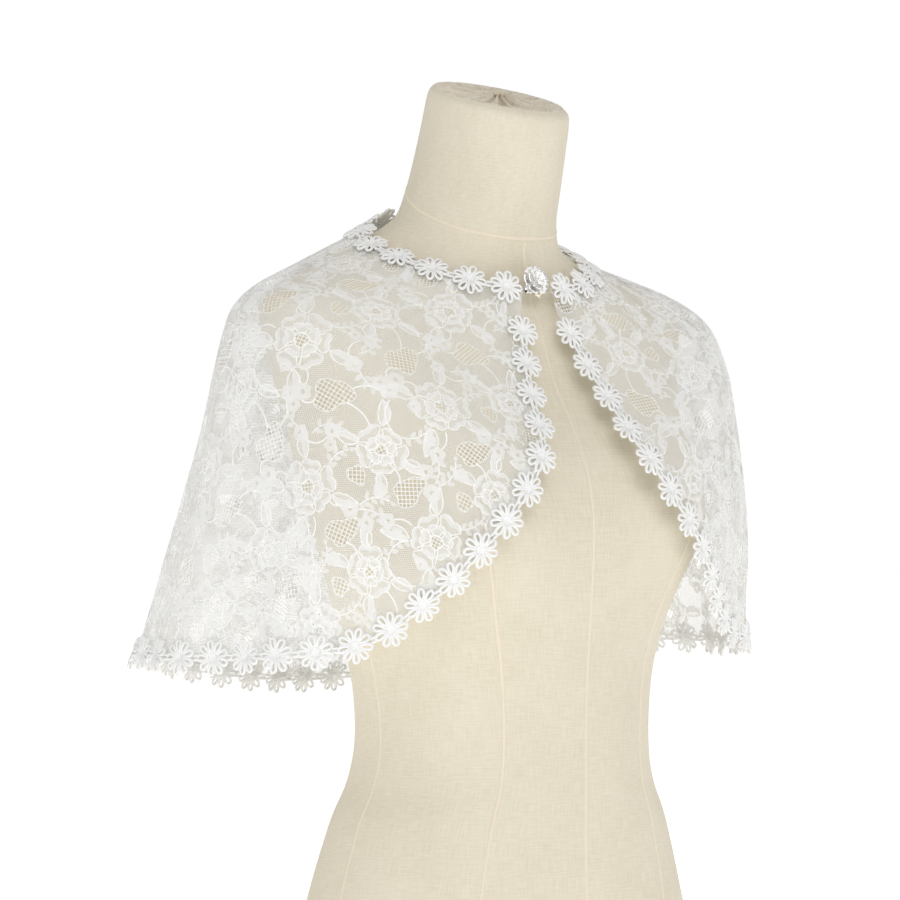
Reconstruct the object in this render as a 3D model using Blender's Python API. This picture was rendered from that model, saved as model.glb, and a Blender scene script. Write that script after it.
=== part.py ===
"""Short lace cape with daisy trim and a rose clasp, worn on a limbless dress form.

Metres, +Z up. The figure faces -Y. The origin is the middle of the form's flat base.
"""

import math
from collections import namedtuple

import bmesh
import bpy
from mathutils import Vector
from mathutils.bvhtree import BVHTree

# Cloth and seams
WALL = 0.0012
SEAM_GAP = 0.0003
LAY_GAP = 0.0004
CAPE_DROP = 0.0008
CAPE_TURN = math.radians(-1.2)
SEAM_ANGLE = 95.0
FRONT_COLUMNS = 20
FRONT_ROWS = 14
BACK_COLUMNS = 46
BACK_ROWS = 11

# Daisy trim
FLOWER_RADIUS = 0.0138
FLOWER_PITCH = 0.0288
PETALS = 10
PETAL_NOTCH = 0.80
TRIM_WALL = 0.0012
FLOWER_CROWN = 0.0014
TRIM_INSET = 0.002
TRIM_REACH = 0.018
EDGE_TRIM_START = 0.024

# Dress form
FORM_SEGMENTS = 32
FORM_STEPS = 2
BUST_FULLNESS = 0.021
BUST_ANGLE = math.radians(40.0)
BUST_ANGLE_SPREAD = math.radians(24.0)
BUST_HEIGHT = 0.405
BUST_HEIGHT_SPREAD = 0.055
CAP_MARGIN = 0.0022

# Rose clasp
ROSE_SEGMENTS = 30
ROSE_RADIUS = 0.0098
ROSE_SCALLOP = 0.07
ROSE_PETALS = 5
ROSE_RISE = 0.0035
LEAF_REACH = 0.0046
LEAF_ANGLE = math.radians(222.0)
DROP_REACH = 0.0036
DROP_ANGLE = math.radians(276.0)
LOBE_SPREAD = math.radians(15.0)
LOBE_THICKNESS = 0.002
PLATE_RINGS = (0.02, 0.16, 0.30)
PLATE_ANGLES = (0.25, 5.0, 9.5, 13.0)
PLATE_THICKNESS = 0.0009

Ring = namedtuple(
    "Ring",
    "half_width side_y side_height front_y front_height back_y back_height squareness slant",
)
EdgePoint = namedtuple("EdgePoint", "angle ring")
Fold = namedtuple("Fold", "angle spread depth top_ring")
Layer = namedtuple("Layer", "reach height turn")
CapLevel = namedtuple("CapLevel", "share rise")
Finish = namedtuple("Finish", "colour roughness metallic")

# One row for each level of the form, from the base to the top of the neck
FORM_RINGS = (
    Ring(0.1640, 0.004, 0.0000, -0.1010, 0.0000, 0.1150, 0.0000, 2.20, 0.0),
    Ring(0.1690, 0.004, 0.0100, -0.1030, 0.0100, 0.1185, 0.0100, 2.20, 0.0),
    Ring(0.1710, 0.004, 0.0450, -0.1035, 0.0450, 0.1210, 0.0450, 2.20, 0.0),
    Ring(0.1560, 0.003, 0.1120, -0.1025, 0.1120, 0.1170, 0.1120, 2.20, 0.0),
    Ring(0.1370, 0.002, 0.1750, -0.1020, 0.1750, 0.1050, 0.1750, 2.15, 0.0),
    Ring(0.1220, 0.001, 0.2080, -0.1020, 0.2080, 0.0980, 0.2080, 2.10, 0.0),
    Ring(0.1165, 0.000, 0.2420, -0.1020, 0.2420, 0.0930, 0.2420, 2.10, 0.0),
    Ring(0.1210, 0.002, 0.2890, -0.1035, 0.2890, 0.0920, 0.2890, 2.10, 0.0),
    Ring(0.1340, 0.005, 0.3350, -0.1070, 0.3350, 0.0970, 0.3350, 2.15, 0.0),
    Ring(0.1430, 0.008, 0.3750, -0.1095, 0.3750, 0.1040, 0.3750, 2.25, 0.0),
    Ring(0.1500, 0.012, 0.4100, -0.1090, 0.4100, 0.1110, 0.4100, 2.35, 0.0),
    Ring(0.1570, 0.017, 0.4460, -0.1010, 0.4460, 0.1170, 0.4460, 2.40, 0.0),
    Ring(0.1660, 0.022, 0.4820, -0.0830, 0.4780, 0.1200, 0.4820, 2.35, 0.0),
    Ring(0.1780, 0.027, 0.5180, -0.0650, 0.5060, 0.1200, 0.5160, 2.25, 0.0),
    Ring(0.1890, 0.031, 0.5480, -0.0540, 0.5320, 0.1160, 0.5480, 2.15, 0.0),
    Ring(0.1900, 0.033, 0.5630, -0.0480, 0.5500, 0.1110, 0.5700, 2.10, 0.2),
    Ring(0.1780, 0.034, 0.5745, -0.0425, 0.5580, 0.1050, 0.5880, 2.05, 0.5),
    Ring(0.1500, 0.034, 0.5865, -0.0380, 0.5660, 0.0985, 0.6040, 2.00, 0.8),
    Ring(0.1180, 0.034, 0.5975, -0.0345, 0.5780, 0.0920, 0.6180, 2.00, 1.0),
    Ring(0.0880, 0.033, 0.6075, -0.0315, 0.5895, 0.0860, 0.6320, 2.00, 1.0),
    Ring(0.0680, 0.031, 0.6195, -0.0290, 0.6050, 0.0810, 0.6460, 2.00, 1.0),
    Ring(0.0590, 0.027, 0.6390, -0.0340, 0.6250, 0.0790, 0.6600, 2.00, 1.0),
    Ring(0.0550, 0.020, 0.6620, -0.0430, 0.6480, 0.0740, 0.6800, 2.00, 1.0),
    Ring(0.0530, 0.011, 0.6890, -0.0500, 0.6750, 0.0670, 0.7040, 2.00, 1.0),
    Ring(0.0515, 0.003, 0.7160, -0.0550, 0.7000, 0.0590, 0.7310, 2.00, 1.0),
    Ring(0.0480, 0.002, 0.7225, -0.0515, 0.7080, 0.0555, 0.7375, 2.00, 1.0),
)

# One row for each ring of the cape, from the neckline to the hem
CAPE_RINGS = (
    Ring(0.0930, 0.034, 0.6090, -0.0450, 0.5780, 0.0970, 0.6340, 2.00, 1.0),
    Ring(0.1260, 0.034, 0.5985, -0.0540, 0.5520, 0.1080, 0.6120, 2.10, 0.8),
    Ring(0.1580, 0.034, 0.5885, -0.0670, 0.5260, 0.1180, 0.5870, 2.20, 0.5),
    Ring(0.1860, 0.034, 0.5775, -0.0830, 0.5010, 0.1280, 0.5600, 2.30, 0.3),
    Ring(0.2050, 0.034, 0.5620, -0.1000, 0.4770, 0.1380, 0.5320, 2.35, 0.1),
    Ring(0.2140, 0.036, 0.5340, -0.1180, 0.4510, 0.1490, 0.5020, 2.30, 0.0),
    Ring(0.2195, 0.039, 0.4990, -0.1260, 0.4250, 0.1620, 0.4690, 2.25, 0.0),
    Ring(0.2250, 0.043, 0.4620, -0.1300, 0.4000, 0.1760, 0.4340, 2.20, 0.0),
    Ring(0.2310, 0.048, 0.4230, -0.1290, 0.3770, 0.1910, 0.3970, 2.20, 0.0),
    Ring(0.2370, 0.054, 0.3830, -0.1240, 0.3560, 0.2060, 0.3580, 2.20, 0.0),
    Ring(0.2430, 0.060, 0.3420, -0.1140, 0.3380, 0.2210, 0.3180, 2.20, 0.0),
    Ring(0.2490, 0.067, 0.3030, -0.1070, 0.3200, 0.2350, 0.2725, 2.20, 0.0),
)

# The front edge from the neck corner, round into the hem, to the shoulder seam
EDGE_POINTS = (
    EdgePoint(8.0, 0.0),
    EdgePoint(7.5, 1.5),
    EdgePoint(7.7, 3.0),
    EdgePoint(8.6, 4.4),
    EdgePoint(12.6, 5.6),
    EdgePoint(18.0, 6.75),
    EdgePoint(24.4, 8.1),
    EdgePoint(30.3, 9.4),
    EdgePoint(37.0, 10.4),
    EdgePoint(45.0, 10.88),
    EdgePoint(55.0, 11.0),
    EdgePoint(68.0, 11.0),
    EdgePoint(81.0, 11.0),
    EdgePoint(95.0, 11.0),
)
EDGE_CORNER = 7

# Soft folds that grow towards the hem, the same on both sides
FOLDS = (
    Fold(59.0, 7.5, 0.006, 5.0),
    Fold(74.0, 7.5, -0.005, 4.5),
    Fold(89.0, 8.0, 0.005, 4.5),
    Fold(103.0, 7.5, -0.006, 4.5),
    Fold(119.0, 8.0, 0.007, 5.0),
    Fold(135.0, 8.0, -0.005, 5.5),
    Fold(150.0, 8.0, 0.006, 5.5),
    Fold(166.0, 8.0, -0.004, 6.0),
)

# The neck cover from its underside, over its rolled edge, to its middle
CAP_LEVELS = (
    CapLevel(1.00, 0.0000),
    CapLevel(1.00, 0.0015),
    CapLevel(0.86, 0.0030),
    CapLevel(0.30, 0.0016),
)

# The rose from its back to its bud: share of the outline, height and turn of the petals
ROSE_LAYERS = (
    Layer(1.00, 0.0000, 0.0),
    Layer(1.00, 0.0012, 0.0),
    Layer(0.90, 0.0028, 0.0),
    Layer(0.72, 0.0024, 0.0),
    Layer(0.66, 0.0048, 36.0),
    Layer(0.48, 0.0042, 36.0),
    Layer(0.42, 0.0066, 0.0),
    Layer(0.22, 0.0060, 0.0),
    Layer(0.16, 0.0076, 0.0),
)

LACE = Finish((0.86, 0.85, 0.82, 1.0), 0.75, 0.0)
TRIM_THREAD = Finish((0.90, 0.90, 0.88, 1.0), 0.65, 0.0)
LINEN = Finish((0.74, 0.68, 0.54, 1.0), 0.85, 0.0)
LINEN_GATHERED = Finish((0.70, 0.64, 0.50, 1.0), 0.85, 0.0)
SILVER = Finish((0.78, 0.78, 0.80, 1.0), 0.20, 1.0)


def spline(rows, place):
    """Reads a table of rows smoothly between its rows."""
    last = len(rows) - 1
    place = min(max(place, 0.0), float(last))
    low = min(int(place), last - 1)
    t = place - low
    before = rows[max(low - 1, 0)]
    start = rows[low]
    end = rows[low + 1]
    after = rows[min(low + 2, last)]
    values = []
    for p0, p1, p2, p3 in zip(before, start, end, after):
        slope_in = 0.5 * (p2 - p0)
        slope_out = 0.5 * (p3 - p1)
        cubic = 2.0 * (p1 - p2) + slope_in + slope_out
        square = 3.0 * (p2 - p1) - 2.0 * slope_in - slope_out
        values.append(p1 + t * (slope_in + t * (square + t * cubic)))
    return type(start)(*values)


def ring_point(ring, angle):
    """A point of a ring. Angle 0 is the middle front, and a positive angle is the figure's left."""
    power = 2.0 / ring.squareness
    across = math.sin(angle)
    ahead = math.cos(angle)
    x = math.copysign(ring.half_width * abs(across) ** power, across)
    depth = ring.side_y - ring.front_y if ahead >= 0.0 else ring.back_y - ring.side_y
    y = ring.side_y - math.copysign(depth * abs(ahead) ** power, ahead)
    tilt = 0.5 * ring.slant * (ring.front_height - ring.back_height)
    if ahead >= 0.0:
        rise = (ring.front_height - tilt - ring.side_height) * ahead ** 2
    else:
        rise = (ring.back_height + tilt - ring.side_height) * ahead ** 4
    z = ring.side_height + tilt * ahead + rise
    return Vector((x, y, z))


def bump(distance, spread):
    """A smooth rise of height 1."""
    return math.exp(-((distance / spread) ** 2))


def form_point(place, angle):
    """A point on the dress form."""
    ring = spline(FORM_RINGS, place)
    point = ring_point(ring, angle)
    rise = bump(abs(angle) - BUST_ANGLE, BUST_ANGLE_SPREAD)
    rise *= bump(point.z - BUST_HEIGHT, BUST_HEIGHT_SPREAD)
    outward = Vector((point.x, point.y - ring.side_y, 0.0))
    return point + outward.normalized() * BUST_FULLNESS * rise


def cape_point(place, angle):
    """A point on the middle of the cape's wall."""
    ring = spline(CAPE_RINGS, place)
    last = len(CAPE_RINGS) - 1
    point = ring_point(ring, angle + CAPE_TURN)
    outward = Vector((point.x, (point.y - ring.side_y) * 1.6, 0.0)).normalized()
    turn = abs(math.degrees(angle))
    for fold in FOLDS:
        growth = max(place - fold.top_ring, 0.0) / (last - fold.top_ring)
        point += outward * fold.depth * growth ** 1.5 * bump(turn - fold.angle, fold.spread)
    point.z -= CAPE_DROP
    return point


def cape_normal(place, angle):
    """The outward direction of the cape's wall."""
    step = 0.01
    last = len(CAPE_RINGS) - 1
    low = max(place - step, 0.0)
    high = min(place + step, last)
    down = cape_point(high, angle) - cape_point(low, angle)
    along = cape_point(place, angle + step) - cape_point(place, angle - step)
    return down.cross(along).normalized()


def edge_curve(place):
    """The front edge and hem as angle in degrees and ring, from its table."""
    point = spline(EDGE_POINTS, place)
    return Vector((point.angle, min(point.ring, len(CAPE_RINGS) - 1.0)))


def front_net(side):
    """Places on the cape of one front panel's points. Side is -1 for the figure's right."""
    last_ring = len(CAPE_RINGS) - 1
    last_edge = len(EDGE_POINTS) - 1
    corner = EDGE_POINTS[0].angle
    near = edge_curve(EDGE_CORNER)
    net = []
    for column in range(FRONT_COLUMNS + 1):
        u = column / FRONT_COLUMNS
        top = Vector((corner + (SEAM_ANGLE - corner) * u, 0.0))
        bottom = edge_curve(EDGE_CORNER + (last_edge - EDGE_CORNER) * u)
        line = []
        for row in range(FRONT_ROWS + 1):
            v = row / FRONT_ROWS
            left = edge_curve(EDGE_CORNER * v)
            right = Vector((SEAM_ANGLE, last_ring * v))
            place = top * (1.0 - v) + bottom * v + left * (1.0 - u) + right * u
            place -= Vector((corner, 0.0)) * (1.0 - u) * (1.0 - v)
            place -= Vector((SEAM_ANGLE, 0.0)) * u * (1.0 - v)
            place -= near * (1.0 - u) * v
            place -= Vector((SEAM_ANGLE, last_ring)) * u * v
            line.append((place.y, math.radians(side * place.x)))
        net.append(line)
    return net


def back_net():
    """Places on the cape of the back panel's points, from the figure's left to its right."""
    last_ring = len(CAPE_RINGS) - 1
    net = []
    for column in range(BACK_COLUMNS + 1):
        turn = SEAM_ANGLE + (360.0 - 2.0 * SEAM_ANGLE) * column / BACK_COLUMNS
        angle = math.radians(turn if turn <= 180.0 else turn - 360.0)
        net.append([(last_ring * row / BACK_ROWS, angle) for row in range(BACK_ROWS + 1)])
    return net


def sheet(net, seam_columns):
    """Points and outward directions of a panel, with its seam columns drawn back from the seam."""
    points = [[cape_point(*place) for place in line] for line in net]
    normals = [[cape_normal(*place) for place in line] for line in net]
    for column in seam_columns:
        inner = column + 1 if column == 0 else column - 1
        for row in range(len(points[column])):
            away = (points[inner][row] - points[column][row]).normalized()
            points[column][row] = points[column][row] + away * SEAM_GAP * 0.5
    return points, normals


def new_object(name, mesh, finish):
    """Puts a finished mesh in the scene with its own material."""
    bmesh.ops.recalc_face_normals(mesh, faces=mesh.faces)
    data = bpy.data.meshes.new(name)
    mesh.to_mesh(data)
    mesh.free()
    obj = bpy.data.objects.new(name, data)
    bpy.context.scene.collection.objects.link(obj)
    material = bpy.data.materials.new(name)
    material.use_nodes = True
    shader = material.node_tree.nodes["Principled BSDF"]
    shader.inputs["Base Color"].default_value = finish.colour
    shader.inputs["Roughness"].default_value = finish.roughness
    shader.inputs["Metallic"].default_value = finish.metallic
    data.materials.append(material)
    return obj


def grid_faces(mesh, grid):
    """Fills a grid of vertices with triangles, split the same way on every layer."""
    for left, right in zip(grid, grid[1:]):
        for row in range(len(left) - 1):
            mesh.faces.new((left[row], right[row], left[row + 1]))
            mesh.faces.new((right[row], right[row + 1], left[row + 1]))


def build_panel(name, points, normals):
    """A cloth panel: two layers and the rim that joins them."""
    mesh = bmesh.new()
    layers = []
    for offset in (0.5 * WALL, -0.5 * WALL):
        layers.append(
            [
                [mesh.verts.new(p + n * offset) for p, n in zip(line, directions)]
                for line, directions in zip(points, normals)
            ]
        )
    for layer in layers:
        grid_faces(mesh, layer)
    rim = [edge for edge in mesh.edges if edge.is_boundary]
    bmesh.ops.bridge_loops(mesh, edges=rim)
    bmesh.ops.triangulate(mesh, faces=mesh.faces)
    return new_object(name, mesh, LACE)


def outer_points(points, normals):
    """The outer face of a panel's wall."""
    return [
        [p + n * 0.5 * WALL for p, n in zip(line, directions)]
        for line, directions in zip(points, normals)
    ]


def outward_border(border, normals, closed):
    """The border line moved out past the cloth's edge, in the cloth's own surface."""
    moved = []
    count = len(border)
    for index, point in enumerate(border):
        before = border[(index - 1) % count] if closed or index else point
        after = border[(index + 1) % count] if closed or index < count - 1 else point
        along = (after - before).normalized()
        out = normals[index].cross(along).normalized()
        moved.append(point + out * TRIM_REACH)
    return moved


def skin_tree(outer_grids, borders):
    """The cape's outer face with a strip past each border, to lay the trim on."""
    points = []
    faces = []
    for grid in list(outer_grids) + [list(map(list, zip(*pair))) for pair in borders]:
        start = len(points)
        rows = len(grid[0])
        for line in grid:
            points.extend(line)
        for column in range(len(grid) - 1):
            for row in range(rows - 1):
                a = start + column * rows + row
                b = a + rows
                faces.append((a, b, a + 1))
                faces.append((b, b + 1, a + 1))
    return BVHTree.FromPolygons(points, faces, all_triangles=True)


def lay(tree, point, up):
    """The nearest place on the cape's outer face, and its direction on the side of up."""
    location, normal, _, _ = tree.find_nearest(point)
    if normal.dot(up) < 0.0:
        normal = -normal
    return location, normal


def walk(border, normals, distance):
    """A place along a border: its point, its direction and its outward normal."""
    for index in range(len(border) - 1):
        step = border[index + 1] - border[index]
        length = step.length
        if distance <= length or index == len(border) - 2:
            share = min(distance / length, 1.0)
            normal = normals[index].lerp(normals[index + 1], share).normalized()
            return border[index] + step * share, step.normalized(), normal
        distance -= length
    return None


def border_length(border):
    """The length along a border."""
    return sum((b - a).length for a, b in zip(border, border[1:]))


def build_trim(name, border, normals, tree, start, end):
    """A chain of daisies laid along a border, joined petal to petal."""
    mesh = bmesh.new()
    count = round((end - start - 2.0 * FLOWER_RADIUS) / FLOWER_PITCH) + 1
    pitch = (end - start - 2.0 * FLOWER_RADIUS) / (count - 1)
    turns = [180.0 * k / PETALS for k in range(2 * PETALS)]
    linked = {0, PETALS}
    last_link = None
    for flower in range(count):
        place, along, normal = walk(border, normals, start + FLOWER_RADIUS + flower * pitch)
        out = normal.cross(along).normalized()
        along = out.cross(normal).normalized()
        middle = place - out * TRIM_INSET
        keep = [k for k in range(2 * PETALS) if k not in linked or flower in (0, count - 1)]
        if flower == 0:
            keep.remove(0)
        elif flower == count - 1:
            keep.remove(PETALS)
        low = []
        high = []
        marks = {}
        for k in keep:
            reach = FLOWER_RADIUS * (1.0 if k % 2 == 0 else PETAL_NOTCH)
            turn = math.radians(turns[k])
            target = middle + along * reach * math.cos(turn) + out * reach * math.sin(turn)
            location, up = lay(tree, target, normal)
            low.append(mesh.verts.new(location + up * LAY_GAP))
            high.append(mesh.verts.new(location + up * (LAY_GAP + TRIM_WALL)))
            marks[k] = (low[-1], high[-1])
        location, up = lay(tree, middle, normal)
        base = mesh.verts.new(location + up * (LAY_GAP + FLOWER_CROWN))
        crown = mesh.verts.new(location + up * (LAY_GAP + TRIM_WALL + FLOWER_CROWN))
        open_sides = set()
        if flower < count - 1:
            open_sides.add((2 * PETALS - 1, 1))
        if flower > 0:
            open_sides.add((PETALS - 1, PETALS + 1))
        for index, k in enumerate(keep):
            nxt = (index + 1) % len(keep)
            mesh.faces.new((crown, high[index], high[nxt]))
            mesh.faces.new((base, low[nxt], low[index]))
            if (k, keep[nxt]) not in open_sides:
                mesh.faces.new((low[index], low[nxt], high[nxt], high[index]))
        if last_link:
            (la, ha), (lb, hb) = last_link
            (lc, hc) = marks[PETALS - 1]
            (ld, hd) = marks[PETALS + 1]
            mesh.faces.new((ha, hb, hd, hc))
            mesh.faces.new((la, lc, ld, lb))
            mesh.faces.new((la, ha, hc, lc))
            mesh.faces.new((lb, ld, hd, hb))
        if flower < count - 1:
            last_link = (marks[1], marks[2 * PETALS - 1])
    bmesh.ops.triangulate(mesh, faces=mesh.faces)
    return new_object(name, mesh, TRIM_THREAD)


def build_form():
    """The torso and neck of the dress form, as one closed body."""
    mesh = bmesh.new()
    last = len(FORM_RINGS) - 1
    rings = []
    for step in range(last * FORM_STEPS + 1):
        ring = []
        for segment in range(FORM_SEGMENTS):
            angle = -math.pi + 2.0 * math.pi * segment / FORM_SEGMENTS
            ring.append(mesh.verts.new(form_point(step / FORM_STEPS, angle)))
        rings.append(ring)
    for low, high in zip(rings, rings[1:]):
        for index in range(FORM_SEGMENTS):
            nxt = (index + 1) % FORM_SEGMENTS
            mesh.faces.new((low[index], low[nxt], high[nxt], high[index]))
    mesh.faces.new(tuple(reversed(rings[0])))
    mesh.faces.new(tuple(rings[-1]))
    bmesh.ops.triangulate(mesh, faces=mesh.faces)
    return new_object("form_torso", mesh, LINEN)


def build_cap():
    """The gathered cover on the neck's top: a shallow dish inside the neck's rim."""
    mesh = bmesh.new()
    top = FORM_RINGS[-1]
    middle_y = 0.5 * (top.front_y + top.back_y)
    middle_z = 0.5 * (top.front_height + top.back_height)
    middle = Vector((0.0, middle_y, middle_z))
    turns = [-math.pi + 2.0 * math.pi * k / FORM_SEGMENTS for k in range(FORM_SEGMENTS)]
    rim = [ring_point(top, turn) for turn in turns]
    up = Vector((0.0, 0.0, 1.0))
    rings = []
    for level in CAP_LEVELS:
        ring = []
        for point in rim:
            spoke = point - middle
            reach = spoke * level.share - spoke.normalized() * CAP_MARGIN
            ring.append(mesh.verts.new(middle + reach + up * (SEAM_GAP + level.rise)))
        rings.append(ring)
    for low, high in zip(rings, rings[1:]):
        for index in range(FORM_SEGMENTS):
            nxt = (index + 1) % FORM_SEGMENTS
            mesh.faces.new((low[index], low[nxt], high[nxt], high[index]))
    mesh.faces.new(tuple(reversed(rings[0])))
    mesh.faces.new(tuple(rings[-1]))
    bmesh.ops.triangulate(mesh, faces=mesh.faces)
    return new_object("form_neck_cap", mesh, LINEN_GATHERED)


def rose_lobes(angle):
    """How far the leaf and the drop below it reach past the rose's round back."""
    leaf = LEAF_REACH * bump(angle - LEAF_ANGLE, LOBE_SPREAD)
    drop = DROP_REACH * bump(angle - DROP_ANGLE, LOBE_SPREAD)
    return leaf + drop


def build_rose():
    """The rose of the clasp, with its flat back against the plates."""
    mesh = bmesh.new()
    base = cape_point(0.0, 0.0)
    normal = cape_normal(0.0, 0.0)
    across = Vector((1.0, 0.0, 0.0))
    across = (across - normal * across.dot(normal)).normalized()
    up = across.cross(normal)
    if up.z < 0.0:
        up = -up
    middle = base + up * ROSE_RISE - normal * 0.5 * WALL
    rings = []
    for layer in ROSE_LAYERS:
        ring = []
        for segment in range(ROSE_SEGMENTS):
            angle = 2.0 * math.pi * segment / ROSE_SEGMENTS
            wave = math.cos(ROSE_PETALS * (angle + math.radians(layer.turn)))
            reach = layer.reach * ROSE_RADIUS * (1.0 + ROSE_SCALLOP * wave)
            if layer.height < LOBE_THICKNESS:
                reach += rose_lobes(angle)
            spoke = across * math.cos(angle) + up * math.sin(angle)
            ring.append(mesh.verts.new(middle + spoke * reach + normal * layer.height))
        rings.append(ring)
    for low, high in zip(rings, rings[1:]):
        for index in range(ROSE_SEGMENTS):
            nxt = (index + 1) % ROSE_SEGMENTS
            mesh.faces.new((low[index], low[nxt], high[nxt], high[index]))
    mesh.faces.new(tuple(reversed(rings[0])))
    mesh.faces.new(tuple(rings[-1]))
    bmesh.ops.triangulate(mesh, faces=mesh.faces)
    return new_object("clasp_rose", mesh, SILVER)


def build_plate(name, side):
    """One half of the clasp, sewn behind a neck corner. Side is -1 for the figure's right."""
    mesh = bmesh.new()
    depth = 0.5 * WALL + LAY_GAP
    layers = []
    for offset in (depth, depth + PLATE_THICKNESS):
        layer = []
        for turn in PLATE_ANGLES:
            angle = math.radians(side * turn)
            layer.append(
                [
                    mesh.verts.new(cape_point(place, angle) - cape_normal(place, angle) * offset)
                    for place in PLATE_RINGS
                ]
            )
        layers.append(layer)
        grid_faces(mesh, layer)
    rim = [edge for edge in mesh.edges if edge.is_boundary]
    bmesh.ops.bridge_loops(mesh, edges=rim)
    bmesh.ops.triangulate(mesh, faces=mesh.faces)
    return new_object(name, mesh, SILVER)


def main():
    """Builds every piece of the object."""
    for obj in list(bpy.data.objects):
        bpy.data.objects.remove(obj, do_unlink=True)

    build_form()
    build_cap()

    right_points, right_normals = sheet(front_net(-1), [FRONT_COLUMNS])
    left_points, left_normals = sheet(front_net(1), [FRONT_COLUMNS])
    back_points, back_normals = sheet(back_net(), [0, BACK_COLUMNS])
    build_panel("cape_right_front", right_points, right_normals)
    build_panel("cape_left_front", left_points, left_normals)
    build_panel("cape_back", back_points, back_normals)

    right_outer = outer_points(right_points, right_normals)
    left_outer = outer_points(left_points, left_normals)
    back_outer = outer_points(back_points, back_normals)

    # The borders run from the figure's right front, round the back, to its left front
    neck = [line[0] for line in right_outer]
    neck += [line[0] for line in reversed(back_outer)]
    neck += [line[0] for line in reversed(left_outer)]
    neck_up = [line[0] for line in right_normals]
    neck_up += [line[0] for line in reversed(back_normals)]
    neck_up += [line[0] for line in reversed(left_normals)]
    edge = right_outer[0] + [line[-1] for line in right_outer[1:]]
    edge += [line[-1] for line in reversed(back_outer)]
    edge += [line[-1] for line in reversed(left_outer[1:])] + left_outer[0][::-1]
    edge_up = right_normals[0] + [line[-1] for line in right_normals[1:]]
    edge_up += [line[-1] for line in reversed(back_normals)]
    edge_up += [line[-1] for line in reversed(left_normals[1:])] + left_normals[0][::-1]
    neck_out = outward_border(neck[::-1], neck_up[::-1], False)[::-1]
    edge_out = outward_border(edge, edge_up, False)
    tree = skin_tree(
        (right_outer, left_outer, back_outer), ((neck, neck_out), (edge, edge_out))
    )
    neck_length = border_length(neck)
    edge_length = border_length(edge)
    build_trim("neck_trim", neck[::-1], neck_up[::-1], tree, 0.0, neck_length)
    build_trim("edge_trim", edge, edge_up, tree, EDGE_TRIM_START, edge_length - EDGE_TRIM_START)

    build_rose()
    build_plate("clasp_hook", -1)
    build_plate("clasp_eye", 1)


main()
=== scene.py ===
"""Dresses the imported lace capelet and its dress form.

Metres, +Z up, the figure faces -Y. The lace is drawn once as a flat repeat in millimetres, laid on the
cape's flat cut, and carried from there to the cape's own rings.
"""

import logging
import math
from collections.abc import Callable
from dataclasses import dataclass, field
from enum import Enum
from typing import NamedTuple

import bmesh
import bpy
import numpy as np
from bmesh.types import BMesh, BMVert
from bpy.types import Material, Mesh, Node, NodeSocket, NodeTree, Object, World
from mathutils import Matrix, Vector
from mathutils.bvhtree import BVHTree


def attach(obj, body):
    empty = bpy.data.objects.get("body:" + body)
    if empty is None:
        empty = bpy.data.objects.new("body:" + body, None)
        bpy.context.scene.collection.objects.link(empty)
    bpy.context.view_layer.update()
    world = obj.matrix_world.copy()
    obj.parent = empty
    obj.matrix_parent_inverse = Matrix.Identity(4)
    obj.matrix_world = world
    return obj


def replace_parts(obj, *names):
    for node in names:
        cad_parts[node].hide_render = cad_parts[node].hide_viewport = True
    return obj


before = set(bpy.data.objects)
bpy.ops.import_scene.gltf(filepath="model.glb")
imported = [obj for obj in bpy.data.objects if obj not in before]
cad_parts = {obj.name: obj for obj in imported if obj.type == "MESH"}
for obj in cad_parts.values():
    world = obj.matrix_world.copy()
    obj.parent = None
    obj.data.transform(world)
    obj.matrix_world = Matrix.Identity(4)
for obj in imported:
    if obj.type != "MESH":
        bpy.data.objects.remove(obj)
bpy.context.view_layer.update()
LOG = logging.getLogger("capelet")
BODY = "root"
MM = 0.001
TINY = 1e-12
FULL_TURN = 2.0 * math.pi

Array = np.ndarray
Colour = tuple[float, float, float]
Levels = tuple[tuple[float, float], ...]
Seat = tuple[Array, Array, Array, Array]


class Ring(NamedTuple):
    """One level of the form or the cape."""

    half_width: float
    side_y: float
    side_height: float
    front_y: float
    front_height: float
    back_y: float
    back_height: float
    squareness: float
    slant: float


class EdgePoint(NamedTuple):
    """One place of the front edge and hem: angle in degrees and ring."""

    angle: float
    ring: float


class Fold(NamedTuple):
    """A soft fold that grows towards the hem, the same on both sides."""

    angle: float
    spread: float
    depth: float
    top_ring: float


class Crease(NamedTuple):
    """A soft ridge or trough of its own length, between two places of the cape."""

    top_angle: float
    top_ring: float
    low_angle: float
    low_ring: float
    spread: float
    depth: float


def ring_mm(*sizes: float) -> Ring:
    """A ring from seven sizes in millimetres, its squareness and its slant."""
    return Ring(*(size / 1000.0 for size in sizes[:7]), *sizes[7:])


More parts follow.
